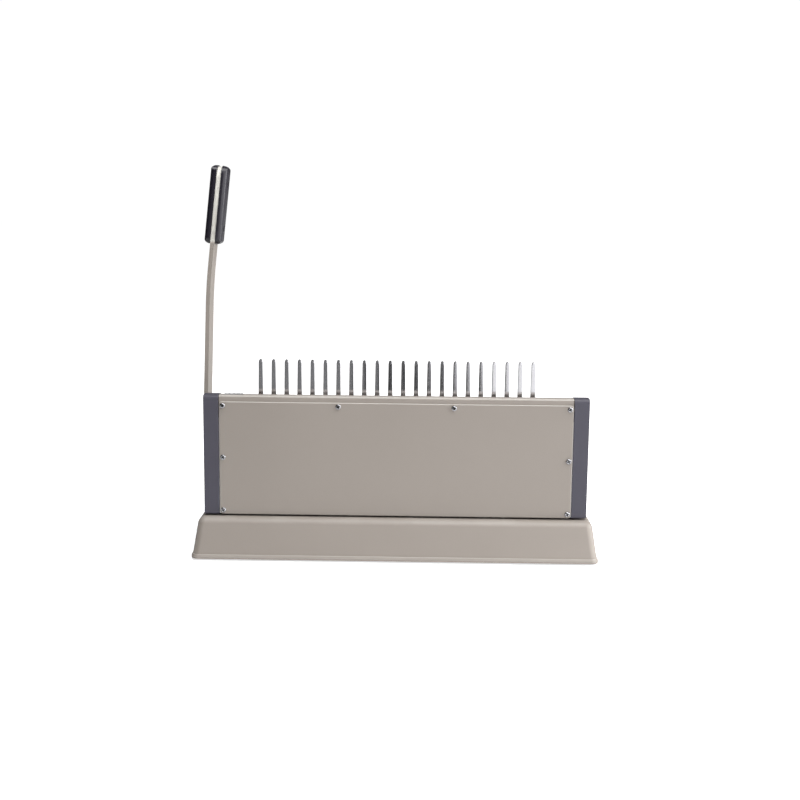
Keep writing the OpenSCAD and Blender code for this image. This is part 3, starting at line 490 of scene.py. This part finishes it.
class Bench:
    """The operations that shape a mesh, each on one selected piece."""

    @staticmethod
    def clear() -> None:
        """Leaves nothing selected."""
        if bpy.context.object is not None and bpy.context.object.mode != "OBJECT":
            bpy.ops.object.mode_set(mode="OBJECT")
        bpy.ops.object.select_all(action="DESELECT")

    @staticmethod
    def take(piece: Object) -> None:
        """Makes a piece the only selected one."""
        Bench.clear()
        piece.select_set(True)
        bpy.context.view_layer.objects.active = piece

    @staticmethod
    def link(piece: Object) -> None:
        """Puts an object in the scene."""
        bpy.context.scene.collection.objects.link(piece)

    @staticmethod
    def settle(piece: Object) -> None:
        """Puts the piece's place into its mesh."""
        Bench.take(piece)
        bpy.ops.object.transform_apply(location=True, rotation=True, scale=True)

    @staticmethod
    def block(name: str, low: Vector, high: Vector) -> Object:
        """Adds a block between two corners.

        Args:
            name: the piece's name.
            low: its lowest corner, in metres.
            high: its highest corner, in metres.

        Returns:
            The new block, at the origin.
        """
        Bench.clear()
        low, high = Vector(low), Vector(high)
        bpy.ops.mesh.primitive_cube_add(size=1.0, location=(low + high) / 2)
        piece = bpy.context.active_object
        piece.name = piece.data.name = name
        piece.scale = high - low
        Bench.settle(piece)
        return piece

    @staticmethod
    def drum(name: str, low: float, high: float, radius: float, sides: int) -> Object:
        """Adds an upright cylinder over the origin.

        Args:
            name: the piece's name.
            low: the height of its lower end.
            high: the height of its upper end.
            radius: its radius.
            sides: how many sides it has.

        Returns:
            The new cylinder, at the origin.
        """
        Bench.clear()
        bpy.ops.mesh.primitive_cylinder_add(vertices=sides, radius=radius, depth=high - low,
                                            location=(0.0, 0.0, (low + high) / 2))
        piece = bpy.context.active_object
        piece.name = piece.data.name = name
        Bench.settle(piece)
        return piece

    @staticmethod
    def edit(piece: Object, kind: str = "FACE") -> None:
        """Opens a piece for editing with nothing selected.

        Args:
            piece: the piece.
            kind: VERT, EDGE or FACE.
        """
        Bench.take(piece)
        bpy.ops.object.mode_set(mode="EDIT")
        bpy.ops.mesh.select_mode(type=kind)
        bpy.ops.mesh.select_all(action="DESELECT")

    @staticmethod
    def edit_whole(piece: Object) -> None:
        """Opens a piece for editing with all of it selected."""
        Bench.take(piece)
        bpy.ops.object.mode_set(mode="EDIT")
        bpy.ops.mesh.select_all(action="SELECT")

    @staticmethod
    def done() -> None:
        """Closes the editing."""
        bpy.ops.object.mode_set(mode="OBJECT")

    @staticmethod
    def pick_faces(piece: Object, test: object) -> None:
        """Selects the faces of an open piece whose middle and normal pass a test."""
        form = bmesh.from_edit_mesh(piece.data)
        for face in form.faces:
            face.select_set(bool(test(face.calc_center_median(), face.normal)))
        form.select_flush_mode()
        bmesh.update_edit_mesh(piece.data)

    @staticmethod
    def pick_edges(piece: Object, test: object) -> None:
        """Selects the edges of an open piece whose two end points pass a test."""
        form = bmesh.from_edit_mesh(piece.data)
        for edge in form.edges:
            edge.select_set(bool(test(edge.verts[0].co, edge.verts[1].co)))
        form.select_flush_mode()
        bmesh.update_edit_mesh(piece.data)

    @staticmethod
    def bevel(piece: Object, test: object, width: float, segments: int, profile: float = 0.5) -> None:
        """Bevels the edges of a piece whose two end points pass a test.

        Args:
            piece: the piece.
            test: a function of the two end points.
            width: how far the bevel reaches, in metres.
            segments: how many facets it has.
            profile: its bulge, round at a half.
        """
        Bench.edit(piece, "EDGE")
        Bench.pick_edges(piece, test)
        bpy.ops.mesh.bevel(offset=width, segments=segments, profile=profile)
        Bench.done()

    @staticmethod
    def apply(piece: Object) -> None:
        """Applies every modifier of a piece."""
        Bench.take(piece)
        for modifier in list(piece.modifiers):
            bpy.ops.object.modifier_apply(modifier=modifier.name)

    @staticmethod
    def round_edges(piece: Object, width: float, segments: int = 3, angle: float = 32.0) -> None:
        """Rounds a piece's sharp edges and marks them for wear and, on stoved paint, for a painted
        highlight.

        Args:
            piece: the piece, with one material slot.
            width: how far the rounding reaches, in metres.
            segments: how many facets it has.
            angle: edges sharper than this, in degrees, are rounded.
        """
        finish = piece.data.materials[0]
        piece.data.materials.append(finish)
        bevel = piece.modifiers.new("Round edges", "BEVEL")
        bevel.width = width
        bevel.segments = segments
        bevel.limit_method = "ANGLE"
        bevel.angle_limit = math.radians(angle)
        bevel.material = 1
        Bench.apply(piece)
        Bench.mark_edges(piece)

    @staticmethod
    def mark_edges(piece: Object) -> None:
        """Turns the rounding's own material slot into the edge mark attribute, read for wear and for the
        painted edge highlight.
        """
        mesh = piece.data
        marks = mesh.attributes.get("edge_wear_and_highlight") or mesh.attributes.new("edge_wear_and_highlight", "FLOAT", "CORNER")
        values = [0.0] * len(mesh.loops)
        for face in mesh.polygons:
            for corner in face.loop_indices:
                values[corner] = float(face.material_index == 1)
        marks.data.foreach_set("value", values)
        mesh.polygons.foreach_set("material_index", [0] * len(mesh.polygons))
        while len(mesh.materials) > 1:
            mesh.materials.pop(index=len(mesh.materials) - 1)

    @staticmethod
    def mark_faces(piece: Object, test: object, worn: float = 1.0) -> None:
        """Adds the faces that pass a test to the edge mark attribute, read for wear and for the painted
        edge highlight.

        Args:
            piece: a piece whose edges are marked.
            test: a function of a face's middle and normal.
            worn: how strongly they are marked for wear and the painted highlight, from 0 to 1.
        """
        marks = piece.data.attributes["edge_wear_and_highlight"].data
        for face in piece.data.polygons:
            if test(face.center, face.normal):
                for corner in face.loop_indices:
                    marks[corner].value = worn

    @staticmethod
    def smooth(piece: Object, angle: float = 34.0) -> None:
        """Shades a piece smooth up to an angle in degrees and keeps its flat faces flat."""
        Bench.take(piece)
        bpy.ops.object.shade_smooth_by_angle(angle=math.radians(angle))
        level = piece.modifiers.new("Flat faces", "WEIGHTED_NORMAL")
        level.mode = "FACE_AREA"
        level.weight = 100
        level.keep_sharp = True
        Bench.apply(piece)

    @staticmethod
    def cut(piece: Object, *tools: Object) -> None:
        """Cuts pieces out of another and removes them.

        Args:
            piece: what is cut.
            tools: the cutting shapes.
        """
        for tool in tools:
            knife = piece.modifiers.new("Cut", "BOOLEAN")
            knife.operation = "DIFFERENCE"
            knife.solver = "EXACT"
            knife.object = tool
            Bench.apply(piece)
            bpy.data.objects.remove(tool)

    @staticmethod
    def copies(piece: Object, places: list[Matrix], name: str) -> Object:
        """Copies a piece to several places and joins the copies.

        Args:
            piece: the pattern, which is used up.
            places: a matrix for each copy.
            name: the joined piece's name.

        Returns:
            The joined piece, at the origin.
        """
        made = []
        for place in places:
            twin = piece.copy()
            twin.data = piece.data.copy()
            twin.data.transform(place)
            Bench.link(twin)
            made.append(twin)
        bpy.data.objects.remove(piece)
        Bench.clear()
        for twin in made:
            twin.select_set(True)
        bpy.context.view_layer.objects.active = made[0]
        if len(made) > 1:
            bpy.ops.object.join()
        whole = bpy.context.active_object
        whole.name = whole.data.name = name
        return whole


@dataclass
class Assembly:
    """What every sub-assembly can do: model pieces, dress them and hand them to the frame."""

    made: list[str] = field(default_factory=list)

    def paint(self, piece: Object, slot: str) -> None:
        """Gives a piece the finish of a slot, in its only material place."""
        piece.data.materials.clear()
        piece.data.materials.append(PAINTS.finish(slot))

    def hand_over(self, piece: Object, node: str) -> Object:
        """Lets a finished piece ride with a frame node's body in the node's place.

        Args:
            piece: the finished piece.
            node: the frame node it stands for.

        Returns:
            The piece.
        """
        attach(piece, BODY_OF[node])
        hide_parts(node)
        self.made.append(piece.name)
        log.info("piece %s on %s, %d faces", piece.name, BODY_OF[node], len(piece.data.polygons))
        return piece

    def finished_copy(self, node: str, width: float, segments: int = 3,
                      angle: float = 32.0) -> Object:
        """Copies a frame node, merges it and rounds its edges.

        Args:
            node: the frame node.
            width: how far the rounding reaches, in metres.
            segments: how many facets the rounding has.
            angle: edges sharper than this, in degrees, are rounded.

        Returns:
            The rounded copy, which replaces the node.
        """
        source = frame["nodes"][node]
        piece = bpy.data.objects.new(node + "_finished", source.data.copy())
        Bench.link(piece)
        Bench.take(piece)
        if piece.data.has_custom_normals:
            bpy.ops.mesh.customdata_custom_splitnormals_clear()
        Bench.edit_whole(piece)
        bpy.ops.mesh.remove_doubles(threshold=2e-6)
        bpy.ops.mesh.dissolve_limited(angle_limit=math.radians(0.6))
        Bench.done()
        self.paint(piece, PAINTS.slot_of[node])
        Bench.round_edges(piece, width, segments, angle)
        Bench.smooth(piece)
        return self.hand_over(piece, node)


@dataclass
class BaseTray(Assembly):
    """The flared base: its shell with a rolled lip, its feet, the paper table and the chip drawer."""

    lip: float = 2.5 * MM
    lip_height: float = 5.0 * MM
    flare: float = math.tan(math.radians(9.0))
    corner: float = 8.0 * MM
    fillet: float = 7.0 * MM
    wall: float = 3.0 * MM
    # how strongly the lip is marked for wear and for the painted edge highlight
    lip_wear_and_highlight: float = 0.25
    lip_steps: tuple[tuple[float, float], ...] = (
        (0.24, 0.0), (0.45, 0.16), (0.57, 0.42), (0.6, 0.62), (0.59, 0.84), (0.52, 0.97), (0.3, 1.0))

    def build(self) -> None:
        """Builds and dresses every piece of the base."""
        self.build_shell()
        widths = {"paper_table": 0.3, "drawer_face": 0.8, "rubber_feet": 0.4, "bottom_plate": 0.3}
        for node, width in widths.items():
            self.finished_copy(node, width * MM)

    def build_shell(self) -> None:
        """Models the shell from a block: flared, filleted, lipped and hollowed."""
        low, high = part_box("base_shell")
        run = (high.z - low.z - self.lip_height) * self.flare
        seat = low.z + self.lip_height
        reach = Vector((high.x - self.lip - run, high.y - self.lip - run, 0.0))
        piece = Bench.block("base_tray", (-reach.x, -reach.y, seat), (reach.x, reach.y, high.z))
        Bench.bevel(piece, lambda a, b: abs(a.z - b.z) > MM, self.corner, 12)
        Bench.edit(piece)
        Bench.pick_faces(piece, lambda c, n: n.z < -0.9)
        bpy.ops.mesh.delete(type="ONLY_FACE")
        self._widen(piece, seat, reach, run)
        Bench.done()
        Bench.bevel(piece, lambda a, b: min(a.z, b.z) > high.z - NEAR, self.fillet, 8)
        self._roll_lip(piece, seat, reach, run, low.z)
        self.paint(piece, "beige_paint")
        self._hollow(piece)
        self._openings(piece, low, high)
        Bench.round_edges(piece, 0.25 * MM, 2, 40.0)
        # marks the rolled lip for wear and a painted highlight
        Bench.mark_faces(piece, lambda c, n: low.z + 1.5 * MM < c.z < seat + NEAR
                         and max(abs(c.x) - reach.x, abs(c.y) - reach.y) > run, self.lip_wear_and_highlight)
        Bench.smooth(piece, 36.0)
        self.hand_over(piece, "base_shell")

    @staticmethod
    def _widen(piece: Object, level: float, reach: Vector, by: float) -> None:
        """Widens the ring at a level by the same distance all round.

        Args:
            piece: the open piece.
            level: the ring's height.
            reach: half its width and depth.
            by: how far it moves out.
        """
        Bench.pick_edges(piece, lambda a, b: max(abs(a.z - level), abs(b.z - level)) < NEAR)
        bpy.ops.transform.resize(value=((reach.x + by) / reach.x, (reach.y + by) / reach.y, 1.0),
                                 center_override=(0.0, 0.0, level))

    def _roll_lip(self, piece: Object, seat: float, reach: Vector, run: float,
                  bottom: float) -> None:
        """Extrudes the rolled bead round the bottom of the wall.

        Args:
            piece: the flared wall.
            seat: where the bead starts.
            reach: half the width and depth of the top.
            run: how far the wall has flared there.
            bottom: the underside of the bead.
        """
        Bench.edit(piece, "EDGE")
        Bench.pick_edges(piece, lambda a, b: max(abs(a.z - seat), abs(b.z - seat)) < NEAR)
        wide = Vector((reach.x + run, reach.y + run, 0.0))
        before = 0.0
        for share, drop in self.lip_steps:
            bpy.ops.mesh.extrude_edges_move()
            grow = self.lip * (share - before)
            bpy.ops.transform.resize(value=((wide.x + grow) / wide.x, (wide.y + grow) / wide.y, 1.0),
                                     center_override=(0.0, 0.0, seat))
            form = bmesh.from_edit_mesh(piece.data)
            level = seat - drop * (seat - bottom)
            shift = level - next(v.co.z for v in form.verts if v.select)
            bpy.ops.transform.translate(value=(0.0, 0.0, shift))
            wide += Vector((grow, grow, 0.0))
            before = share
        Bench.done()

    def _hollow(self, piece: Object) -> None:
        """Gives the shell its wall thickness."""
        Bench.edit_whole(piece)
        bpy.ops.mesh.remove_doubles(threshold=1e-6)
        bpy.ops.mesh.normals_make_consistent(inside=False)
        Bench.done()
        shell = piece.modifiers.new("Wall", "SOLIDIFY")
        shell.thickness = self.wall
        shell.offset = -1.0
        shell.use_even_offset = False
        Bench.apply(piece)

    def _openings(self, piece: Object, low: Vector, high: Vector) -> None:
        """Cuts the drawer's mouth and the chute under the die.

        Args:
            piece: the hollow shell.
            low: its lowest corner.
            high: its highest corner.
        """
        face_low, face_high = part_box("drawer_face")
        die_low, die_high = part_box("die_plate")
        gap = 1.2 * MM
        mouth = Bench.block("mouth", (face_low.x - gap, low.y - 0.01, face_low.z - gap),
                            (face_high.x + gap, low.y + 0.03, face_high.z + gap))
        chute = Bench.block("chute", (die_low.x - gap, die_low.y - gap, die_low.z - 0.006),
                            (die_high.x + gap, die_high.y + gap, high.z + 0.01))
        Bench.cut(piece, mouth, chute)


@dataclass
class Cabinet(Assembly):
    """The upright body: end caps, ridge, deck, front cover, rear panel and its screws."""

    panel_corner: float = 3.5 * MM
    panel_roll: float = 1.1 * MM
    fold: float = 3.5 * MM
    # how strongly the ridge's rear fold is marked for wear and for the painted edge highlight
    fold_wear_and_highlight: float = 0.7

    def build(self) -> None:
        """Builds and dresses every piece of the cabinet."""
        self.build_rear_panel()
        for node in ("right_end_cap", "left_end_cap"):
            self.finished_copy(node, 1.4 * MM, 4)
        for node, width in (("front_cover", 0.35), ("opener_deck", 0.25), ("ring_gauge", 0.25)):
            self.finished_copy(node, width * MM, 2)
        _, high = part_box("top_cover")
        ridge = self.finished_copy("top_cover", 0.35 * MM, 2)
        # marks the ridge's rear fold for wear and a painted highlight
        Bench.mark_faces(ridge, lambda c, n: n.z > 0.2 and c.y > high.y - self.fold, self.fold_wear_and_highlight)
        for node in ("rear_panel_screws", "front_cover_screws", "end_cap_screws"):
            self.build_screws(node)

    def build_rear_panel(self) -> None:
        """Models the rear panel: a sheet with rounded corners and rolled edges, the rolled edges marked
        for wear and a painted highlight.
        """
        low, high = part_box("rear_panel")
        piece = Bench.block("rear_panel_sheet", low, high)
        Bench.bevel(piece, lambda a, b: abs(a.y - b.y) > 0.5 * (high.y - low.y), self.panel_corner, 8)
        Bench.bevel(piece, lambda a, b: min(a.y, b.y) > high.y - NEAR, self.panel_roll, 4)
        self.paint(piece, "beige_paint")
        Bench.round_edges(piece, 0.1 * MM, 1, 60.0)
        # the rolled edges get the full mark: wear and the painted highlight
        Bench.mark_faces(piece, lambda c, n: 0.02 < n.y < 0.98)
        Bench.smooth(piece, 40.0)
        self.hand_over(piece, "rear_panel")

    def build_screws(self, node: str) -> None:
        """Models the pan head screws of one frame node from a single pattern."""
        heads = ScrewPlaces.read(frame["nodes"][node])
        pattern = PanScrew().model(heads[0].radius, heads[0].height)
        piece = Bench.copies(pattern, [head.matrix for head in heads], node + "_modelled")
        self.hand_over(piece, node)


@dataclass
class ScrewHead:
    """Where one screw head sits."""

    matrix: Matrix
    radius: float
    height: float


class ScrewPlaces:
    """Finds the heads in a frame node made of separate screws."""

    @staticmethod
    def read(source: Object) -> list[ScrewHead]:
        """Reads each screw's place, way and size from the node's loose parts.

        Args:
            source: a frame node of separate screws.

        Returns:
            One head for each screw.
        """
        form = bmesh.new()
        form.from_mesh(source.data)
        bmesh.ops.remove_doubles(form, verts=form.verts[:], dist=2e-6)
        seen: set[int] = set()
        heads = []
        form.verts.ensure_lookup_table()
        for first in form.verts:
            if first.index in seen:
                continue
            part, queue = [], [first]
            seen.add(first.index)
            while queue:
                vert = queue.pop()
                part.append(vert.co.copy())
                for edge in vert.link_edges:
                    other = edge.other_vert(vert)
                    if other.index not in seen:
                        seen.add(other.index)
                        queue.append(other)
            heads.append(ScrewPlaces._head(part))
        form.free()
        return heads

    @staticmethod
    def _head(points: list[Vector]) -> ScrewHead:
        """Works out one head from its screw's points.

        Args:
            points: the points of one screw.

        Returns:
            The head's place, seated on what it holds.
        """
        low = Vector([min(p[i] for p in points) for i in range(3)])
        high = Vector([max(p[i] for p in points) for i in range(3)])
        size = high - low
        way = max(range(3), key=lambda i: size[i])
        across = [i for i in range(3) if i != way]
        wide = max(size[i] for i in across) / 2
        middle = (low + high) / 2
        at_high = [p for p in points if p[way] > high[way] - 0.4 * wide]
        at_low = [p for p in points if p[way] < low[way] + 0.4 * wide]
        spread = [max((p - middle)[i] for p in group for i in across) for group in (at_low, at_high)]
        sign = 1.0 if spread[1] > spread[0] else -1.0
        wide_points = [p[way] for p in points if max(abs((p - middle)[i]) for i in across) > 0.9 * wide]
        seat = min(wide_points) if sign > 0 else max(wide_points)
        top = high[way] if sign > 0 else low[way]
        where = middle.copy()
        where[way] = seat
        axis = Vector([sign if i == way else 0.0 for i in range(3)])
        turn = axis.to_track_quat("Z", "Y").to_matrix().to_4x4()
        return ScrewHead(Matrix.Translation(where) @ turn, wide, abs(top - seat))


@dataclass
class PanScrew(Assembly):
    """A plated pan head screw with a crossed recess, whose deep faces carry a near-black painted shade."""

    sides: int = 28
    recess: float = 0.66
    slot: float = 0.17
    dome: float = 0.72
    turn: float = 24.0
    sunk: float = 0.3 * MM

    def model(self, radius: float, height: float) -> Object:
        """Models one head with its seat at the origin.

        Args:
            radius: the head's radius.
            height: the head's height.

        Returns:
            The head.
        """
        piece = Bench.drum("pan_head", -self.sunk, height, radius, self.sides)
        Bench.bevel(piece, lambda a, b: min(a.z, b.z) > height - NEAR, height * self.dome, 5, 0.6)
        arm, half = radius * self.recess, radius * self.slot
        for angle in (self.turn, self.turn + 90.0):
            slot = Bench.block("recess", (-arm, -half, height * 0.10), (arm, half, height * 2.0))
            slot.data.transform(Matrix.Rotation(math.radians(angle), 4, "Z"))
            Bench.cut(piece, slot)
        Bench.bevel(piece, lambda a, b: max(a.z, b.z) < self.sunk * -0.9, self.sunk * 1.3, 2)
        self.paint(piece, "screw_steel")
        Bench.round_edges(piece, 0.06 * MM, 1, 40.0)
        # painted shade: the faces deep in the recess get a near-black finish
        piece.data.materials.append(PAINTS.finish("recess"))
        for face in piece.data.polygons:
            deep = math.hypot(face.center.x, face.center.y) < arm * 1.01 and face.center.z < height * 0.88
            face.material_index = int(deep and face.center.z > 0.0)
        Bench.smooth(piece)
        return piece


@dataclass
class CombOpener(Assembly):
    """The tines that hold the comb and the hooks that pull it open."""

    count: int = 22
    tip_width: float = 4.4 * MM
    root_width: float = 6.4 * MM
    scatter: float = 0.8
    point: float = 2.8 * MM
    blunt: float = 0.56

    def build(self) -> None:
        """Builds and dresses the tines and hooks."""
        self.build_tines()
        self.finished_copy("opener_hooks", 0.3 * MM, 2)

    def build_tines(self) -> None:
        """Models one tine with a rounded point and copies it along the row."""
        low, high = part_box("comb_tines")
        half = self.root_width / 2
        pitch = (high.x - low.x - self.root_width) / (self.count - 1)
        shoulder = high.z - self.point
        piece = Bench.block("tine", (-half, low.y, low.z), (half, high.y, shoulder))
        Bench.edit(piece)
        Bench.pick_faces(piece, lambda c, n: n.z > 0.9)
        bpy.ops.transform.resize(value=(self.tip_width / self.root_width, 1.0, 1.0),
                                 center_override=(0.0, 0.0, shoulder))
        bpy.ops.mesh.extrude_region_move(TRANSFORM_OT_translate={"value": (0.0, 0.0, self.point)})
        bpy.ops.transform.resize(value=(self.blunt, 1.0, 1.0), center_override=(0.0, 0.0, high.z))
        Bench.done()
        for level, reach in ((high.z, 0.26), (shoulder, 0.3)):
            Bench.bevel(piece, lambda a, b: abs((a.z + b.z) / 2 - level) < NEAR < abs(a.y - b.y) / 10,
                        self.tip_width * reach, 4)
        self.paint(piece, "tine_steel")
        Bench.round_edges(piece, 0.4 * MM, 2, 50.0)
        Bench.smooth(piece, 40.0)
        middle = Vector((0.0, (low.y + high.y) / 2, 0.0))
        places = []
        for i in range(self.count):
            turn = Matrix.Rotation(math.radians(self.scatter * math.sin(2.4 * i + 0.6)), 4, "Z")
            stand = Matrix.Translation(middle + Vector((low.x + half + i * pitch, 0.0, 0.0)))
            places.append(stand @ turn @ Matrix.Translation(-middle))
        self.hand_over(Bench.copies(piece, places, "tine_row"), "comb_tines")


@dataclass
class Lever(Assembly):
    """The side lever: its bar, hub, pivot bolt and the two halves of its grip."""

    parting: float = 3.0 * MM

    def build(self) -> None:
        """Builds and dresses every piece of the lever."""
        self.build_core(self.finished_copy("handle_arm", 1.0 * MM, 4, 40.0))
        self.finished_copy("handle_hub", 0.4 * MM)
        self.finished_copy("handle_bolt", 0.3 * MM)
        for node in ("inner_grip", "outer_grip"):
            self.finished_copy(node, 0.8 * MM, 3, 40.0)

    def build_core(self, arm: Object) -> None:
        """Parts the finished bar at the grip's lower end and paints what the grip holds a pale cream, as a
        painted highlight.
        """
        low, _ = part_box("inner_grip")
        core = arm.copy()
        core.data = arm.data.copy()
        core.name = core.data.name = "grip_core"
        Bench.link(core)
        for piece, upper in ((arm, False), (core, True)):
            Bench.edit_whole(piece)
            bpy.ops.mesh.bisect(plane_co=(0.0, 0.0, low.z + self.parting), plane_no=(0.0, 0.0, 1.0),
                                use_fill=True, clear_inner=upper, clear_outer=not upper)
            Bench.done()
        # painted highlight on the bar inside the grip
        self.paint(core, "grip_bar_highlight")
        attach(core, BODY_OF["handle_arm"])
        self.made.append(core.name)


@dataclass
class Carriage(Assembly):
    """The return springs round the guide rods, which shorten as the punch comes down; here they only get a
    rounded mesh of their own and are not shortened.
    """

    closed: float = 13.0 / 23.0

    def build(self) -> None:
        """Builds the springs."""
        springs = self.finished_copy("return_springs", 0.1 * MM, 1, 60.0)
        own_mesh(springs)


@dataclass
class Controls(Assembly):
    """What the operator sets by hand: the depth dial and the paper edge guide."""

    def build(self) -> None:
        """Builds and dresses the controls."""
        for node in ("depth_knob", "guide_knob"):
            self.finished_copy(node, 0.25 * MM, 2, 40.0)
        self.finished_copy("edge_guide", 0.4 * MM, 2, 40.0)


# ---------------------------------------------------------------- studio


@dataclass
class Studio:
    """A pale floor, soft lights and the camera behind the machine."""

    camera_at: tuple[float, float, float] = (-0.0173, 1.4099, 0.3764)
    pitch: float = 8.79
    roll: float = 0.62
    yaw: float = 0.59
    lens: float = 54.0
    ambient: float = 0.36
    shine: float = 0.06
    backdrop: float = 1.02
    lift: float = 0.74

    def build(self) -> None:
        """Sets up the floor, the surroundings, the lights and the camera."""
        self.build_floor()
        self.build_surroundings()
        self.build_lights()
        self.build_camera()

    def build_floor(self) -> None:
        """Lays a wide plain floor under the machine."""
        Bench.clear()
        bpy.ops.mesh.primitive_plane_add(size=60.0, location=(0.0, 0.0, 0.0))
        floor = bpy.context.active_object
        floor.name = "studio_floor"
        kit = FinishKit("Pale floor")
        seen = kit.graph.node("ShaderNodeLightPath").outputs["Is Camera Ray"]
        kit.set(Base_Color=(0.9, 0.9, 0.9, 1.0), Roughness=0.9, Emission_Color=(1.0, 1.0, 1.0, 1.0),
                Emission_Strength=kit.graph.times(seen, self.lift))
        floor.data.materials.append(kit.material)

    def build_surroundings(self) -> None:
        """Fills the surroundings with pale light, dimmer where it is only seen in a shine."""
        world = bpy.data.worlds.new("Studio")
        bpy.context.scene.world = world
        world.use_nodes = True
        graph = Graph(world.node_tree)
        background = world.node_tree.nodes["Background"]
        background.inputs["Color"].default_value = (1.0, 1.0, 1.0, 1.0)
        path = graph.node("ShaderNodeLightPath")
        drop = graph.times(path.outputs["Is Glossy Ray"], self.ambient - self.shine)
        lift = graph.times(path.outputs["Is Camera Ray"], self.backdrop - self.ambient)
        level = graph.maths("ADD", graph.maths("SUBTRACT", self.ambient, drop), lift)
        graph.feed(background.inputs["Strength"], level)
        bpy.context.scene.view_settings.view_transform = "Standard"

    def build_lights(self) -> None:
        """Hangs the overhead and key lights and places the cards that the steel mirrors."""
        self.softbox("overhead", (-0.4, 0.9, 2.2), 2.0, 60.0)
        self.softbox("key", (-2.5, 0.3, 0.9), 1.4, 66.0)
        self.card("bright_card", (-3.0, 0.7), (-0.19, 7.0), 1.05)
        self.card("dark_card", (-0.19, 0.7), (0.05, 7.0), 0.02)
        self.card("grey_card", (0.05, 0.7), (3.0, 7.0), 0.22)
        self.card("side_card", (-2.6, 1.2), (-2.59, 3.4), 2.4, 2.2)
        self.card("corner_card", (-2.6, 3.4), (-0.7, 3.41), 2.4, 2.2)
        flag = self.card("dark_flag", (0.8, -0.8), (0.81, 2.0), 0.0, 1.8, 0.004)
        flag.visible_diffuse = flag.visible_transmission = True

    def card(self, name: str, near: tuple[float, float], far: tuple[float, float], shade: float,
             height: float = 0.003, clear: float = 0.002) -> Object:
        """Places a plain card that only shows in a shine, lying on the floor or standing on it.

        Args:
            name: the card's name.
            near: its lowest corner on the floor.
            far: its highest corner on the floor.
            shade: how bright it looks.
            height: how high it reaches.
            clear: how far its underside clears the floor.

        Returns:
            The card.
        """
        card = Bench.block(name, (*near, clear), (*far, height))
        kit = FinishKit(name)
        kit.set(Base_Color=(0.0, 0.0, 0.0, 1.0), Roughness=1.0, Specular_IOR_Level=0.0,
                Emission_Color=(shade, shade, shade, 1.0), Emission_Strength=1.0)
        card.data.materials.append(kit.material)
        card.visible_camera = card.visible_diffuse = False
        card.visible_shadow = card.visible_transmission = False
        return card

    @staticmethod
    def softbox(name: str, place: tuple[float, float, float], size: float, power: float) -> None:
        """Hangs one square area light that looks at the machine.

        Args:
            name: the light's name.
            place: where it hangs.
            size: its side.
            power: its power in watts.
        """
        lamp = bpy.data.lights.new(name, "AREA")
        lamp.energy = power
        lamp.size = size
        holder = bpy.data.objects.new(name, lamp)
        holder.location = place
        ahead = Vector((0.0, 0.0, 0.15)) - Vector(place)
        holder.rotation_euler = ahead.to_track_quat("-Z", "Y").to_euler()
        Bench.link(holder)

    def build_camera(self) -> None:
        """Places the camera and turns it to its pitch, yaw and roll."""
        yaw, pitch, roll = (math.radians(a) for a in (self.yaw, self.pitch, self.roll))
        level = Vector((math.sin(yaw), -math.cos(yaw), 0.0))
        side = Vector((-math.cos(yaw), -math.sin(yaw), 0.0))
        ahead = level * math.cos(pitch) - Vector((0.0, 0.0, 1.0)) * math.sin(pitch)
        up = Vector((0.0, 0.0, 1.0)) * math.cos(pitch) + level * math.sin(pitch)
        right = side * math.cos(roll) + up * math.sin(roll)
        up = up * math.cos(roll) - side * math.sin(roll)
        turn = Matrix((right, up, -ahead)).transposed().to_4x4()
        camera = bpy.data.objects.new("camera", bpy.data.cameras.new("camera"))
        camera.data.lens = self.lens
        camera.data.sensor_width = 36.0
        camera.matrix_world = Matrix.Translation(self.camera_at) @ turn
        Bench.link(camera)
        bpy.context.scene.camera = camera


def main() -> None:
    """Builds the studio and every sub-assembly in order, and reports each."""
    logging.basicConfig(level=logging.INFO, format="%(name)s: %(message)s", stream=sys.stdout)
    Studio().build()
    PAINTS.dress_frame()
    for assembly in (BaseTray(), Cabinet(), CombOpener(), Carriage(), Lever(), Controls()):
        assembly.build()
        log.info("%s: %s", type(assembly).__name__, ", ".join(assembly.made))


if __name__ == "__main__":
    main()
